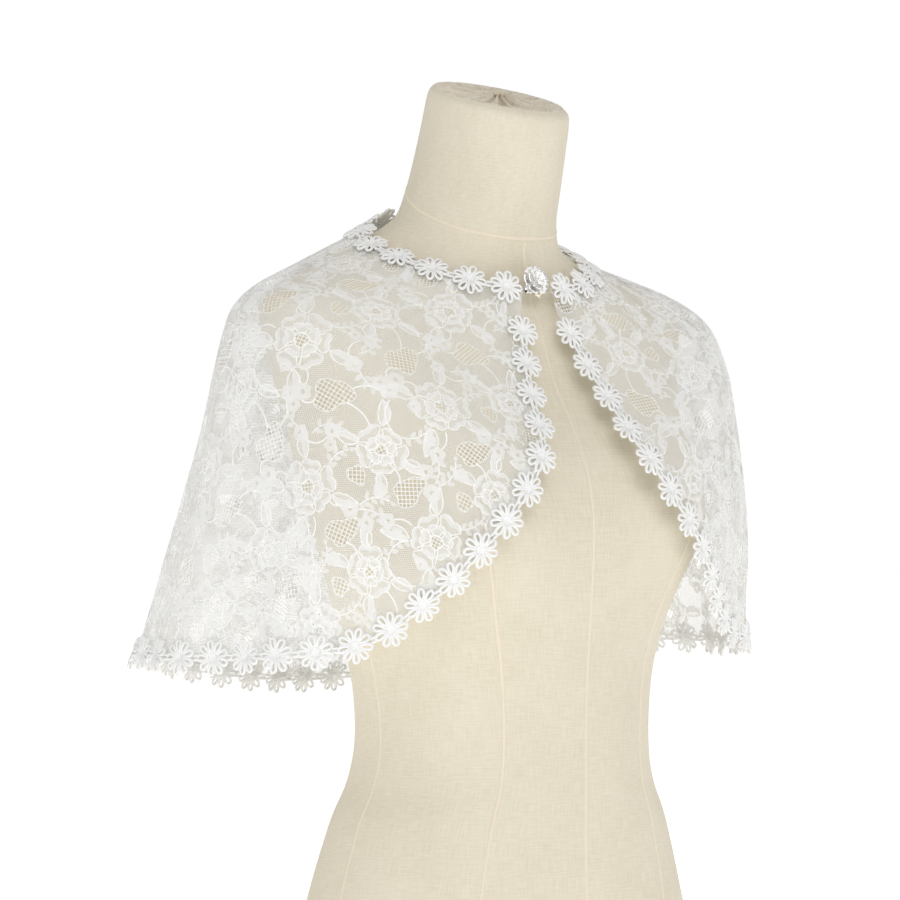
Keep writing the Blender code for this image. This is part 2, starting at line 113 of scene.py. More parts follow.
FORM_RINGS = (
    ring_mm(164, 4, 0, -101, 0, 115, 0, 2.2, 0),
    ring_mm(169, 4, 10, -103, 10, 118.5, 10, 2.2, 0),
    ring_mm(171, 4, 45, -103.5, 45, 121, 45, 2.2, 0),
    ring_mm(156, 3, 112, -102.5, 112, 117, 112, 2.2, 0),
    ring_mm(137, 2, 175, -102, 175, 105, 175, 2.15, 0),
    ring_mm(122, 1, 208, -102, 208, 98, 208, 2.1, 0),
    ring_mm(116.5, 0, 242, -102, 242, 93, 242, 2.1, 0),
    ring_mm(121, 2, 289, -103.5, 289, 92, 289, 2.1, 0),
    ring_mm(134, 5, 335, -107, 335, 97, 335, 2.15, 0),
    ring_mm(143, 8, 375, -109.5, 375, 104, 375, 2.25, 0),
    ring_mm(150, 12, 410, -109, 410, 111, 410, 2.35, 0),
    ring_mm(157, 17, 446, -101, 446, 117, 446, 2.4, 0),
    ring_mm(166, 22, 482, -83, 478, 120, 482, 2.35, 0),
    ring_mm(178, 27, 518, -65, 506, 120, 516, 2.25, 0),
    ring_mm(189, 31, 548, -54, 532, 116, 548, 2.15, 0),
    ring_mm(190, 33, 563, -48, 550, 111, 570, 2.1, 0.2),
    ring_mm(178, 34, 574.5, -42.5, 558, 105, 588, 2.05, 0.5),
    ring_mm(150, 34, 586.5, -38, 566, 98.5, 604, 2, 0.8),
    ring_mm(118, 34, 597.5, -34.5, 578, 92, 618, 2, 1),
    ring_mm(88, 33, 607.5, -31.5, 589.5, 86, 632, 2, 1),
    ring_mm(68, 31, 619.5, -29, 605, 81, 646, 2, 1),
    ring_mm(59, 27, 639, -34, 625, 79, 660, 2, 1),
    ring_mm(55, 20, 662, -43, 648, 74, 680, 2, 1),
    ring_mm(53, 11, 689, -50, 675, 67, 704, 2, 1),
    ring_mm(51.5, 3, 716, -55, 700, 59, 731, 2, 1),
    ring_mm(48, 2, 722.5, -51.5, 708, 55.5, 737.5, 2, 1),
)

CAPE_RINGS = (
    ring_mm(93, 34, 609, -45, 578, 97, 634, 2, 1),
    ring_mm(126, 34, 598.5, -54, 552, 108, 612, 2.1, 0.8),
    ring_mm(158, 34, 588.5, -67, 526, 118, 587, 2.2, 0.5),
    ring_mm(186, 34, 577.5, -83, 501, 128, 560, 2.3, 0.3),
    ring_mm(205, 34, 562, -100, 477, 138, 532, 2.35, 0.1),
    ring_mm(214, 36, 534, -118, 451, 149, 502, 2.3, 0),
    ring_mm(219.5, 39, 499, -126, 425, 162, 469, 2.25, 0),
    ring_mm(225, 43, 462, -130, 400, 176, 434, 2.2, 0),
    ring_mm(231, 48, 423, -129, 377, 191, 397, 2.2, 0),
    ring_mm(237, 54, 383, -124, 356, 206, 358, 2.2, 0),
    ring_mm(243, 60, 342, -114, 338, 221, 318, 2.2, 0),
    ring_mm(249, 67, 303, -107, 320, 235, 272.5, 2.2, 0),
)

EDGE_POINTS = (
    EdgePoint(8, 0),
    EdgePoint(7.5, 1.5),
    EdgePoint(7.7, 3),
    EdgePoint(8.6, 4.4),
    EdgePoint(12.6, 5.6),
    EdgePoint(18, 6.75),
    EdgePoint(24.4, 8.1),
    EdgePoint(30.3, 9.4),
    EdgePoint(37, 10.4),
    EdgePoint(45, 10.88),
    EdgePoint(55, 11),
    EdgePoint(68, 11),
    EdgePoint(81, 11),
    EdgePoint(95, 11),
)

FOLDS = (
    Fold(59, 7.5, 0.006, 5),
    Fold(74, 7.5, -0.005, 4.5),
    Fold(89, 8, 0.005, 4.5),
    Fold(103, 7.5, -0.006, 4.5),
    Fold(119, 8, 0.007, 5),
    Fold(135, 8, -0.005, 5.5),
    Fold(150, 8, 0.006, 5.5),
    Fold(166, 8, -0.004, 6),
)

CREASES = (
    Crease(-62, 4.6, -50, 10.9, 4, 0.003),
    Crease(-74, 5.5, -66, 11, 3.5, -0.0022),
    Crease(-96, 4.8, -92, 11, 4.2, 0.0028),
    Crease(-112, 6, -110, 11, 3.4, -0.0024),
    Crease(-140, 5.2, -143, 11, 4.4, 0.0026),
    Crease(58, 5.4, 52, 10.8, 3.8, 0.0024),
    Crease(80, 4.9, 84, 11, 3.6, -0.0022),
    Crease(101, 5.6, 98, 11, 4.4, 0.0027),
    Crease(127, 6.2, 129, 11, 3.4, -0.002),
    Crease(158, 5, 160, 11, 4.6, 0.0024),
)


def spline(table: Array, place: Array) -> Array:
    """Reads a table of rows smoothly between its rows.

    Args:
        table: the rows, one below the other.
        place: row numbers, with fractions between rows.

    Returns:
        One row of values for each place.
    """
    last = len(table) - 1
    place = np.clip(place, 0.0, last)
    low = np.minimum(place.astype(int), last - 1)
    t = (place - low)[..., None]
    before, start, end, after = (table[np.clip(low + k, 0, last)] for k in (-1, 0, 1, 2))
    slope_in = 0.5 * (end - before)
    slope_out = 0.5 * (after - start)
    cubic = 2.0 * (start - end) + slope_in + slope_out
    square = 3.0 * (end - start) - 2.0 * slope_in - slope_out
    return start + t * (slope_in + t * (square + t * cubic))


def ring_points(ring: Array, angle: Array) -> Array:
    """Points of rings at angles, 0 at the middle front and positive to the figure's left.

    Args:
        ring: ring values, one row for each point.
        angle: angles in radians.

    Returns:
        The points, one row each.
    """
    half_width, side_y, side_h, front_y, front_h, back_y, back_h, square, slant = np.moveaxis(ring, -1, 0)
    power = 2.0 / square
    across = np.sin(angle)
    ahead = np.cos(angle)
    x = np.sign(across) * half_width * np.abs(across) ** power
    depth = np.where(ahead >= 0.0, side_y - front_y, back_y - side_y)
    y = side_y - np.sign(ahead) * depth * np.abs(ahead) ** power
    tilt = 0.5 * slant * (front_h - back_h)
    front_rise = (front_h - tilt - side_h) * ahead**2
    back_rise = (back_h + tilt - side_h) * ahead**4
    z = side_h + tilt * ahead + np.where(ahead >= 0.0, front_rise, back_rise)
    return np.stack((x, y, z), -1)


def bump(distance: Array, spread: float) -> Array:
    """A smooth rise of height 1."""
    return np.exp(-((distance / spread) ** 2))


def unit(vectors: Array) -> Array:
    """Vectors of length 1, one row each."""
    return vectors / np.maximum(np.linalg.norm(vectors, axis=-1, keepdims=True), TINY)


def grid_cells(columns: int, rows: int, start: int = 0) -> Array:
    """The four-cornered cells of a grid of numbered points.

    Args:
        columns: points along the grid's first way.
        rows: points along its second way.
        start: the first point's number.

    Returns:
        The four corners of each cell.
    """
    index = start + np.arange(columns * rows).reshape(columns, rows)
    corners = (index[:-1, :-1], index[1:, :-1], index[1:, 1:], index[:-1, 1:])
    return np.stack(corners, -1).reshape(-1, 4)


@dataclass(frozen=True)
class CapeShape:
    """The cape's own rings, folds and creases, read at any ring and angle."""

    turn: float = math.radians(-1.2)
    drop: float = 0.0008
    seam_angle: float = 95.0
    corner: float = 7.0
    outward_depth: float = 1.6
    step: float = 0.01
    fold_growth: float = 1.5
    crease_span: float = 0.72
    edge_samples: int = 400

    @property
    def last(self) -> float:
        """The hem's ring number."""
        return len(CAPE_RINGS) - 1.0

    def points(self, place: Array, angle: Array) -> Array:
        """Points on the middle of the cape's wall.

        Args:
            place: ring numbers.
            angle: angles in radians.

        Returns:
            The points, one row each.
        """
        ring = spline(np.array(CAPE_RINGS), place)
        point = ring_points(ring, angle + self.turn)
        side_y = ring[..., 1]
        outward = np.stack(
            (point[..., 0], (point[..., 1] - side_y) * self.outward_depth, np.zeros_like(side_y)), -1
        )
        degrees = np.degrees(np.arctan2(np.sin(angle), np.cos(angle)))
        move = np.zeros_like(side_y)
        for fold in FOLDS:
            growth = np.maximum(place - fold.top_ring, 0.0) / (self.last - fold.top_ring)
            move += fold.depth * growth**self.fold_growth * bump(np.abs(degrees) - fold.angle, fold.spread)
        for crease in CREASES:
            share = np.clip((place - crease.top_ring) / (crease.low_ring - crease.top_ring), 0.0, 1.0)
            middle = crease.top_angle + (crease.low_angle - crease.top_angle) * share
            swell = crease.depth * np.sin(self.crease_span * math.pi * share)
            move += swell * bump(degrees - middle, crease.spread)
        point = point + unit(outward) * move[..., None]
        point[..., 2] -= self.drop
        return point

    def normals(self, place: Array, angle: Array) -> Array:
        """The outward directions of the cape's wall.

        Args:
            place: ring numbers.
            angle: angles in radians.

        Returns:
            Directions of length 1, one row each.
        """
        low = np.maximum(place - self.step, 0.0)
        high = np.minimum(place + self.step, self.last)
        down = self.points(high, angle) - self.points(low, angle)
        along = self.points(place, angle + self.step) - self.points(place, angle - self.step)
        return unit(np.cross(down, along))

    def edge(self, place: Array) -> Array:
        """The front edge and hem as angle in degrees and ring, at places of its table."""
        found = spline(np.array(EDGE_POINTS), place)
        return np.minimum(found, (np.inf, self.last))

    def edge_angle(self, place: Array) -> Array:
        """The front edge's angle in degrees at each ring."""
        samples = self.edge(np.linspace(0.0, len(EDGE_POINTS) - 1.0, self.edge_samples))
        return np.interp(place, np.maximum.accumulate(samples[:, 1]), samples[:, 0])

    def front_net(self, u: Array, v: Array, side: int) -> tuple[Array, Array]:
        """Rings and angles over one front panel.

        Args:
            u: from the front edge, 0, to the seam, 1.
            v: from the neck, 0, to the hem, 1.
            side: -1 for the figure's right and 1 for its left.

        Returns:
            Ring numbers, and angles in radians.
        """
        last_edge = len(EDGE_POINTS) - 1.0
        first = EDGE_POINTS[0].angle
        zeros = np.zeros_like(u)
        top = np.stack((first + (self.seam_angle - first) * u, zeros), -1)
        bottom = self.edge(self.corner + (last_edge - self.corner) * u)
        near = self.edge(self.corner * v)
        far = np.stack((zeros + self.seam_angle, self.last * v), -1)
        corner = self.edge(zeros + self.corner)
        u, v = u[..., None], v[..., None]
        place = top * (1.0 - v) + bottom * v + near * (1.0 - u) + far * u
        place -= np.array((first, 0.0)) * (1.0 - u) * (1.0 - v)
        place -= np.array((self.seam_angle, 0.0)) * u * (1.0 - v)
        place -= corner * (1.0 - u) * v
        place -= np.array((self.seam_angle, self.last)) * u * v
        return place[..., 1], np.radians(side * place[..., 0])

    def back_net(self, u: Array, v: Array) -> tuple[Array, Array]:
        """Rings and angles over the back panel, from the figure's left to its right."""
        turn = self.seam_angle + (360.0 - 2.0 * self.seam_angle) * u
        return self.last * v, np.radians(turn)


class Panel(Enum):
    """The three panels of the cape, with their CAD nodes."""

    RIGHT = "right_front"
    LEFT = "left_front"
    BACK = "back"

    @property
    def node(self) -> str:
        """The CAD node that this panel stands for."""
        return "cape_" + self.value


@dataclass
class FlatCut:
    """The cape laid flat as a part of a ring, with the middle of the back at the bottom."""

    shape: CapeShape
    rows: int = 24
    columns: int = 120
    rounds: int = 80
    margin: float = 6.0
    off_cape: float = 0.02
    least_pull: float = 0.02
    anchor: float = 1e-6
    place: Array = field(init=False)
    turn: Array = field(init=False)
    flat: Array = field(init=False)
    corners: Array = field(init=False)
    tree: BVHTree = field(init=False)

    def __post_init__(self) -> None:
        """Works out the flat cut from lengths along and across the cape."""
        place, turn = np.meshgrid(
            np.linspace(0.0, self.shape.last, self.rows + 1),
            np.linspace(-math.pi, math.pi, self.columns + 1),
            indexing="ij",
        )
        points = self.shape.points(place, turn + math.pi)
        down = np.cumsum(np.linalg.norm(np.diff(points, axis=0), axis=-1), axis=0)
        down = np.vstack((np.zeros((1, self.columns + 1)), down))
        round_steps = np.cumsum(np.linalg.norm(np.diff(points, axis=1), axis=-1), axis=1)
        around = np.hstack((np.zeros((self.rows + 1, 1)), round_steps))
        around -= around[:, [self.columns // 2]]
        half = 0.5 * (around[:, -1] - around[:, 0])
        slope, start = np.polyfit(down.mean(axis=1), half, 1)
        radius = start / slope + down
        sweep = around / radius
        self.place, self.turn = place, turn
        cells = grid_cells(self.rows + 1, self.columns + 1)
        self.corners = np.concatenate((cells[:, (0, 3, 2)], cells[:, (0, 2, 1)]))
        from_front = 180.0 - np.abs(np.degrees(turn))
        near = (from_front > self.shape.edge_angle(place) - self.margin).ravel()
        worn = near[self.corners].all(axis=1)
        polar = (-1j * radius * np.exp(1j * sweep)).ravel()
        flat = self.relax(polar, points.reshape(-1, 3), np.where(worn, 1.0, self.off_cape))
        self.flat = np.stack((flat.real, flat.imag), -1).reshape(self.rows + 1, self.columns + 1, 2)
        self.corners = self.corners[worn]
        level = np.column_stack((flat.real, flat.imag, np.zeros(len(flat))))
        self.tree = BVHTree.FromPolygons(level.tolist(), self.corners.tolist(), all_triangles=True)

    def relax(self, flat: Array, points: Array, worn: Array) -> Array:
        """Evens out the flat cut until each of its cells keeps its shape from the cape.

        Args:
            flat: flat places to start from, as complex numbers.
            points: the same places on the cape.
            worn: each cell's weight.

        Returns:
            The flat places.
        """
        first = points[self.corners[:, 1]] - points[self.corners[:, 0]]
        second = points[self.corners[:, 2]] - points[self.corners[:, 0]]
        length = np.linalg.norm(first, axis=1)
        across = (first * second).sum(axis=1) / length
        along = np.sqrt(np.maximum((second**2).sum(axis=1) - across**2, TINY))
        cell = np.stack((np.zeros_like(length), length, across - 1j * along), -1)
        pull = self.anchor * np.eye(len(flat))
        ties = []
        for k in range(3):
            i, j = (k + 1) % 3, (k + 2) % 3
            turn = (cell[:, i] - cell[:, k]) * np.conj(cell[:, j] - cell[:, k])
            weight = worn * np.maximum(turn.real / np.abs(turn.imag), self.least_pull)
            a, b = self.corners[:, i], self.corners[:, j]
            for p, q in ((a, b), (b, a)):
                np.add.at(pull, (p, p), weight)
                np.add.at(pull, (p, q), -weight)
            ties.append((a, b, weight * (cell[:, i] - cell[:, j])))
        inverse = np.linalg.inv(pull)
        for _ in range(self.rounds):
            spin = sum((flat[a] - flat[b]) * np.conj(tie) for a, b, tie in ties)
            spin /= np.maximum(np.abs(spin), TINY)
            load = np.zeros_like(flat)
            for a, b, tie in ties:
                np.add.at(load, a, spin * tie)
                np.add.at(load, b, -spin * tie)
            flat = inverse @ load
        return flat

    def spread(self, place: Array, angle: Array) -> Array:
        """Flat places of points of the cape.

        Args:
            place: ring numbers.
            angle: angles in radians, 0 at the middle front.

        Returns:
            Flat places in metres, one row each.
        """
        back = np.mod(angle, FULL_TURN) - math.pi
        row = place / self.shape.last * self.rows
        column = (back + math.pi) / (FULL_TURN) * self.columns
        low_row = np.clip(row.astype(int), 0, self.rows - 1)
        low_column = np.clip(column.astype(int), 0, self.columns - 1)
        s = (row - low_row)[..., None]
        t = (column - low_column)[..., None]
        upper = self.flat[low_row, low_column] * (1.0 - t) + self.flat[low_row, low_column + 1] * t
        below = low_row + 1
        lower = self.flat[below, low_column] * (1.0 - t) + self.flat[below, low_column + 1] * t
        return upper * (1.0 - s) + lower * s

    def find(self, flat: Array) -> tuple[Array, Array, Array]:
        """Carries flat places to the cape.

        Args:
            flat: flat places in metres, one row each.

        Returns:
            Ring numbers, angles from the middle back, and whether each place is on the cape.
        """
        ray = Vector((0.0, 0.0, -1.0))
        hits = np.full(len(flat), -1)
        for number, (x, y) in enumerate(flat.tolist()):
            found = self.tree.ray_cast(Vector((x, y, 1.0)), ray, 2.0)[2]
            if found is not None:
                hits[number] = found
        on_cape = hits >= 0
        triangle = self.corners[np.where(on_cape, hits, 0)]
        a, b, c = (self.flat.reshape(-1, 2)[triangle[:, k]] for k in range(3))
        ab, ac, ap = b - a, c - a, flat - a
        size = ab[:, 0] * ac[:, 1] - ab[:, 1] * ac[:, 0]
        share_b = (ap[:, 0] * ac[:, 1] - ap[:, 1] * ac[:, 0]) / size
        share_c = (ab[:, 0] * ap[:, 1] - ab[:, 1] * ap[:, 0]) / size
        shares = np.stack((1.0 - share_b - share_c, share_b, share_c), -1)
        place = (self.place.ravel()[triangle] * shares).sum(axis=1)
        turn = (self.turn.ravel()[triangle] * shares).sum(axis=1)
        from_front = 180.0 - np.abs(np.degrees(turn))
        on_cape &= from_front > self.shape.edge_angle(place)
        return place, turn, on_cape


class RoseSpot(NamedTuple):
    """An open rose of the repeat, in millimetres and degrees."""

    x: float
    y: float
    radius: float
    turn: float
    petals: int


class LeafSpot(NamedTuple):
    """A leaf from its foot, in millimetres and degrees."""

    x: float
    y: float
    length: float
    width: float
    turn: float
    curl: float


class SpraySpot(NamedTuple):
    """A bowed stem with small leaves on both sides."""

    x: float
    y: float
    length: float
    turn: float
    bow: float
    leaflets: int


class BlossomSpot(NamedTuple):
    """A small five-petal blossom."""

    x: float
    y: float
    radius: float
    turn: float


class FieldSpot(NamedTuple):
    """An open field filled with a square grid of threads."""

    x: float
    y: float
    half_width: float
    half_height: float
    turn: float


class StemSpot(NamedTuple):
    """A stem between two places, bowed to its left."""

    x0: float
    y0: float
    x1: float
    y1: float
    bow: float


ROSES = (
    RoseSpot(0, 0, 21, 12, 6),
    RoseSpot(10, 60, 18, 40, 5),
)

LEAVES = (
    LeafSpot(13, -16, 22, 10, -45, 0.25),
    LeafSpot(-13, -16, 22, 10, 225, -0.25),
    LeafSpot(-17, 11, 20, 9, 146, 0.3),
    LeafSpot(16, 12, 20, 9, 38, -0.3),
    LeafSpot(24, 68, 18, 8.5, 30, 0.25),
    LeafSpot(-4, 70, 19, 8.5, 148, -0.25),
    LeafSpot(22, 50, 18, 8, -34, 0.3),
    LeafSpot(-3, 50, 18, 8, 214, 0.25),
)

SPRAYS = (
    SpraySpot(0, 20, 21, 96, 3, 7),
    SpraySpot(9, 77, 22, 84, -4, 7),
    SpraySpot(-27, 26, 22, 62, 4, 7),
    SpraySpot(-46, 78, 24, 18, -4, 8),
    SpraySpot(33, 24, 23, 64, 4, 7),
    SpraySpot(30, 92, 22, -32, 3, 7),
)

BLOSSOMS = (
    BlossomSpot(31, 17, 6.6, 10),
    BlossomSpot(-33, 19, 6.2, 40),
    BlossomSpot(31, -23, 6, 0),
    BlossomSpot(-30, -20, 6.4, 22),
    BlossomSpot(33, 43, 5.6, 50),
    BlossomSpot(-19, 39, 6, 15),
    BlossomSpot(38, 79, 6, 30),
    BlossomSpot(-24, 87, 6.4, 5),
    BlossomSpot(-52, 27, 5.6, 44),
    BlossomSpot(-12, 32, 4.8, 20),
    BlossomSpot(-7, 97, 5, 35),
    BlossomSpot(20, 94, 4.6, 12),
)

FIELDS = (
    FieldSpot(40, 3, 8.5, 13, -15),
    FieldSpot(-44, -5, 10.5, 14, 20),
    FieldSpot(15, 35, 7, 6, 10),
)

STEMS = (
    StemSpot(19, -9, 29, -18, 2),
    StemSpot(-19, -9, -27, -16, -2),
    StemSpot(-25, 20, -18, 33, -3),
    StemSpot(26, 15, 19, 8, 2),
    StemSpot(25, 60, 36, 58, 2),
    StemSpot(-6, 62, -30, 58, -3),
    StemSpot(3, 74, -18, 84, 4),
    StemSpot(22, 71, 33, 77, -2),
    StemSpot(-52, 33, -44, 40, -2),
    StemSpot(-36, 67, -28, 82, 2),
)

Shape = Callable[[Array, Array], Array]
Span = tuple[float, float]
WHOLE: Span = (-1.0, 1.0)
BLADE: Span = (0.02, 0.98)


@dataclass(frozen=True)
class Cord:
    """A thread of the repeat: its line in millimetres, and its width and height."""

    line: Array
    closed: bool
    width: float
    height: float


@dataclass(frozen=True)
class Clothwork:
    """A filled part of the repeat: a grid of places, how close its weave is, and its lift."""

    grid: Array
    density: float
    lift: float


def turned(places: Array, turn: float, x: float, y: float) -> Array:
    """Places turned by degrees about the origin and then moved.

    Args:
        places: flat places, in the last axis.
        turn: degrees.
        x: move to the right.
        y: move up.

    Returns:
        The places in the repeat.
    """
    c = math.cos(math.radians(turn))
    s = math.sin(math.radians(turn))
    return np.stack(
        (places[..., 0] * c - places[..., 1] * s + x, places[..., 0] * s + places[..., 1] * c + y), -1
    )


def shape_grid(shape: Shape, across: Span, along: Span, counts: tuple[int, int]) -> Array:
    """A grid of places over part of a shape.

    Args:
        shape: gives places from shares across, -1 to 1, and along, 0 to 1.
        across: first and last share across.
        along: first and last share along.
        counts: cells across and along.

    Returns:
        The places, columns first.
    """
    s, t = np.meshgrid(np.linspace(*across, counts[0] + 1), np.linspace(*along, counts[1] + 1), indexing="ij")
    return shape(s, t)


def shape_outline(shape: Shape, counts: tuple[int, int]) -> Array:
    """The closed line round a shape.

    Args:
        shape: gives places from shares across and along.
        counts: steps across and along.

    Returns:
        The places of the line, in order.
    """
    grid = shape_grid(shape, WHOLE, (0.0, 1.0), counts)
    return np.concatenate((grid[:-1, 0], grid[-1, :-1], grid[:0:-1, -1], grid[0, :0:-1]))


def lobes(angle: Array) -> Array:
    """How far an open field's uneven rim stands out in each direction."""
    return 1.0 + 0.15 * np.cos(3.0 * angle + 0.8) + 0.07 * np.cos(5.0 * angle + 2.0)


def fan_petal(inner: float, outer: float, half_angle: float, notch: float) -> Shape:
    """A petal that widens outwards, with a notch in its tip.

    Args:
        inner: where it starts.
        outer: where it ends.
        half_angle: half its width in degrees.
        notch: the notch's depth as a share.

    Returns:
        Its shape.
    """

    def shape(s: Array, t: Array) -> Array:
        """Places of the petal."""
        reach = outer * (1.0 - 0.13 * s**4 - notch * np.exp(-((s / 0.22) ** 2)))
        radius = inner + (reach - inner) * t
        angle = math.radians(half_angle) * (0.70 + 0.30 * t) * s
        return np.stack((radius * np.cos(angle), radius * np.sin(angle)), -1)

    return shape


def leaf_blade(length: float, width: float, curl: float, bluntness: float, waves: float) -> Shape:
    """A leaf or a round petal from its foot to its tip.

    Args:
        length: its length.
        width: its width.
        curl: its bow as a share of the length.
        bluntness: lower for blunter ends.
        waves: how wavy its sides are.

    Returns:
        Its shape.
    """

    def shape(s: Array, t: Array) -> Array:
        """Places of the blade."""
        body = np.sin(math.pi * np.clip(t, 0.0, 1.0) ** 0.85) ** bluntness
        half = 0.5 * width * body * (1.0 + waves * np.cos(8.0 * math.pi * t))
        return np.stack((length * t, curl * length * t * (1.0 - t) + half * s), -1)

    return shape


@dataclass
class LaceRepeat:
    """The flower repeat of the lace, drawn flat in millimetres."""

    width: float = 84.0
    height: float = 116.0
    outline_width: float = 1.00
    outline_height: float = 0.20
    fine_width: float = 0.62
    fine_height: float = 0.16
    bar_pitch: float = 2.9
    bar_width: float = 0.60
    bar_step: float = 8.0
    heart_share: float = 0.24
    light: float = 0.18
    middling: float = 0.34
    close: float = 0.58
    crescent: float = 0.38
    petal_lift: float = 0.24
    inner_lift: float = 0.34
    rim_lift: float = 0.04
    leaf_lift: float = 0.26
    leaflet_lift: float = 0.28
    leaflet_lean: float = 52.0
    blossom_lift: float = 0.32
    heart_pitch: float = 2.6
    stem_share: float = 1.15
    stem_step: float = 1.8
    cords: list[Cord] = field(default_factory=list)
    fills: list[Clothwork] = field(default_factory=list)
    openings: list[FieldSpot] = field(default_factory=list)

    def __post_init__(self) -> None:
        """Draws every motif of the repeat."""
        for rose in ROSES:
            self.draw_rose(rose)
        for leaf in LEAVES:
            self.draw_leaf(leaf)
        for spray in SPRAYS:
            self.draw_spray(spray)
        for blossom in BLOSSOMS:
            self.draw_blossom(blossom)
        for spot in FIELDS:
            self.draw_field(spot, self.bar_pitch, self.bar_width, self.fine_width)
        for stem in STEMS:
            self.draw_stem(stem)

    def outline(self, line: Array, closed: bool = True, share: float = 1.0) -> None:
        """Adds a raised outline thread."""
        self.cords.append(Cord(line, closed, self.outline_width * share, self.outline_height))

    def fine(self, line: Array, width: float) -> None:
        """Adds an open fine thread."""
        self.cords.append(Cord(line, False, width, self.fine_height))

    def fill(self, grid: Array, density: float, lift: float) -> None:
        """Adds a filled part."""
        self.fills.append(Clothwork(grid, density, lift))

    def draw_petal(self, shape: Shape, rose: RoseSpot, turn: float, density: float, lift: float) -> None:
        """Draws a rose petal: a light middle, a close crescent along its rim and an outline.

        Args:
            shape: the petal.
            rose: its rose.
            turn: its angle in degrees.
            density: how close its middle is.
            lift: how far it lies above the net.
        """
        body = shape_grid(shape, WHOLE, (0.0, 0.8), (5, 2))
        s = np.linspace(-1.0, 1.0, 9)
        inner = 1.0 - self.crescent * (1.0 - s * s) ** 0.8
        rim = np.stack((shape(s, inner), shape(s, 0.5 * (1.0 + inner)), shape(s, np.ones(9))), 1)
        self.fill(turned(body, turn, rose.x, rose.y), density, lift)
        self.fill(turned(rim, turn, rose.x, rose.y), self.close, lift + self.rim_lift)
        self.outline(turned(shape_outline(shape, (8, 4)), turn, rose.x, rose.y))

    def draw_rose(self, rose: RoseSpot) -> None:
        """Draws an open rose: two rounds of petals about a heart of open grid.

        Args:
            rose: its place and size.
        """
        for number in range(rose.petals):
            reach = rose.radius * (1.0 + 0.08 * math.sin(2.4 * number + rose.turn))
            shape = fan_petal(rose.radius * 0.45, reach, 172.0 / rose.petals, 0.10)
            turn = rose.turn + 360.0 * number / rose.petals
            self.draw_petal(shape, rose, turn, self.light, self.petal_lift)
        for number in range(5):
            shape = fan_petal(rose.radius * self.heart_share, rose.radius * 0.62, 33.0, 0.12)
            self.draw_petal(shape, rose, rose.turn + 25.0 + 72.0 * number, self.middling, self.inner_lift)
        heart = rose.radius * self.heart_share
        spot = FieldSpot(rose.x, rose.y, heart, heart, rose.turn)
        self.draw_field(spot, self.heart_pitch, self.fine_width, self.outline_width)

    def draw_leaf(self, leaf: LeafSpot) -> None:
        """Draws a leaf with one close half, one light half and a midrib.

        Args:
            leaf: its place and size.
        """
        shape = leaf_blade(leaf.length, leaf.width, leaf.curl, 0.85, 0.07)
        close = shape_grid(shape, (-1.0, 0.0), BLADE, (2, 6))
        light = shape_grid(shape, (0.0, 1.0), BLADE, (2, 6))
        rib = shape(np.zeros(8), np.linspace(0.0, 1.0, 8))
        self.fill(turned(close, leaf.turn, leaf.x, leaf.y), self.close, self.leaf_lift)
        self.fill(turned(light, leaf.turn, leaf.x, leaf.y), self.light, self.leaf_lift)
        self.outline(turned(shape_outline(shape, (1, 11))[1:], leaf.turn, leaf.x, leaf.y))
        self.fine(turned(rib, leaf.turn, leaf.x, leaf.y), self.fine_width)

    def draw_spray(self, spray: SpraySpot) -> None:
        """Draws a stem with close little leaves to its left and right in turn.

        Args:
            spray: its place and size.
        """
        t = np.linspace(0.0, 1.0, 9)
        line = np.stack((spray.length * t, 4.0 * spray.bow * t * (1.0 - t)), -1)
        self.outline(turned(line, spray.turn, spray.x, spray.y), closed=False)
        for number in range(spray.leaflets):
            share = 0.12 + 0.88 * number / (spray.leaflets - 1)
            side = 1.0 if number % 2 else -1.0
            lean = 0.0 if number == spray.leaflets - 1 else self.leaflet_lean * side
            slope = math.degrees(math.atan2(4.0 * spray.bow * (1.0 - 2.0 * share), spray.length))
            blade = leaf_blade(7.0 - 1.8 * share, 3.5 - 0.7 * share, 0.18 * side, 0.70, 0.05)
            grid = shape_grid(blade, WHOLE, BLADE, (2, 4))
            foot = np.array((spray.length * share, 4.0 * spray.bow * share * (1.0 - share)))
            placed = turned(grid, slope + lean, *foot)
            self.fill(turned(placed, spray.turn, spray.x, spray.y), self.close, self.leaflet_lift)

    def draw_blossom(self, blossom: BlossomSpot) -> None:
        """Draws a small blossom of five close petals about an open eye.

        Args:
            blossom: its place and size.
        """
        for number in range(5):
            shape = leaf_blade(blossom.radius * 0.84, blossom.radius * 0.98, 0.0, 0.60, 0.0)
            turn = blossom.turn + 72.0 * number
            foot = 0.22 * blossom.radius
            x = blossom.x + foot * math.cos(math.radians(turn))
            y = blossom.y + foot * math.sin(math.radians(turn))
            grid = shape_grid(shape, WHOLE, BLADE, (2, 4))
            self.fill(turned(grid, turn, x, y), self.close, self.blossom_lift)

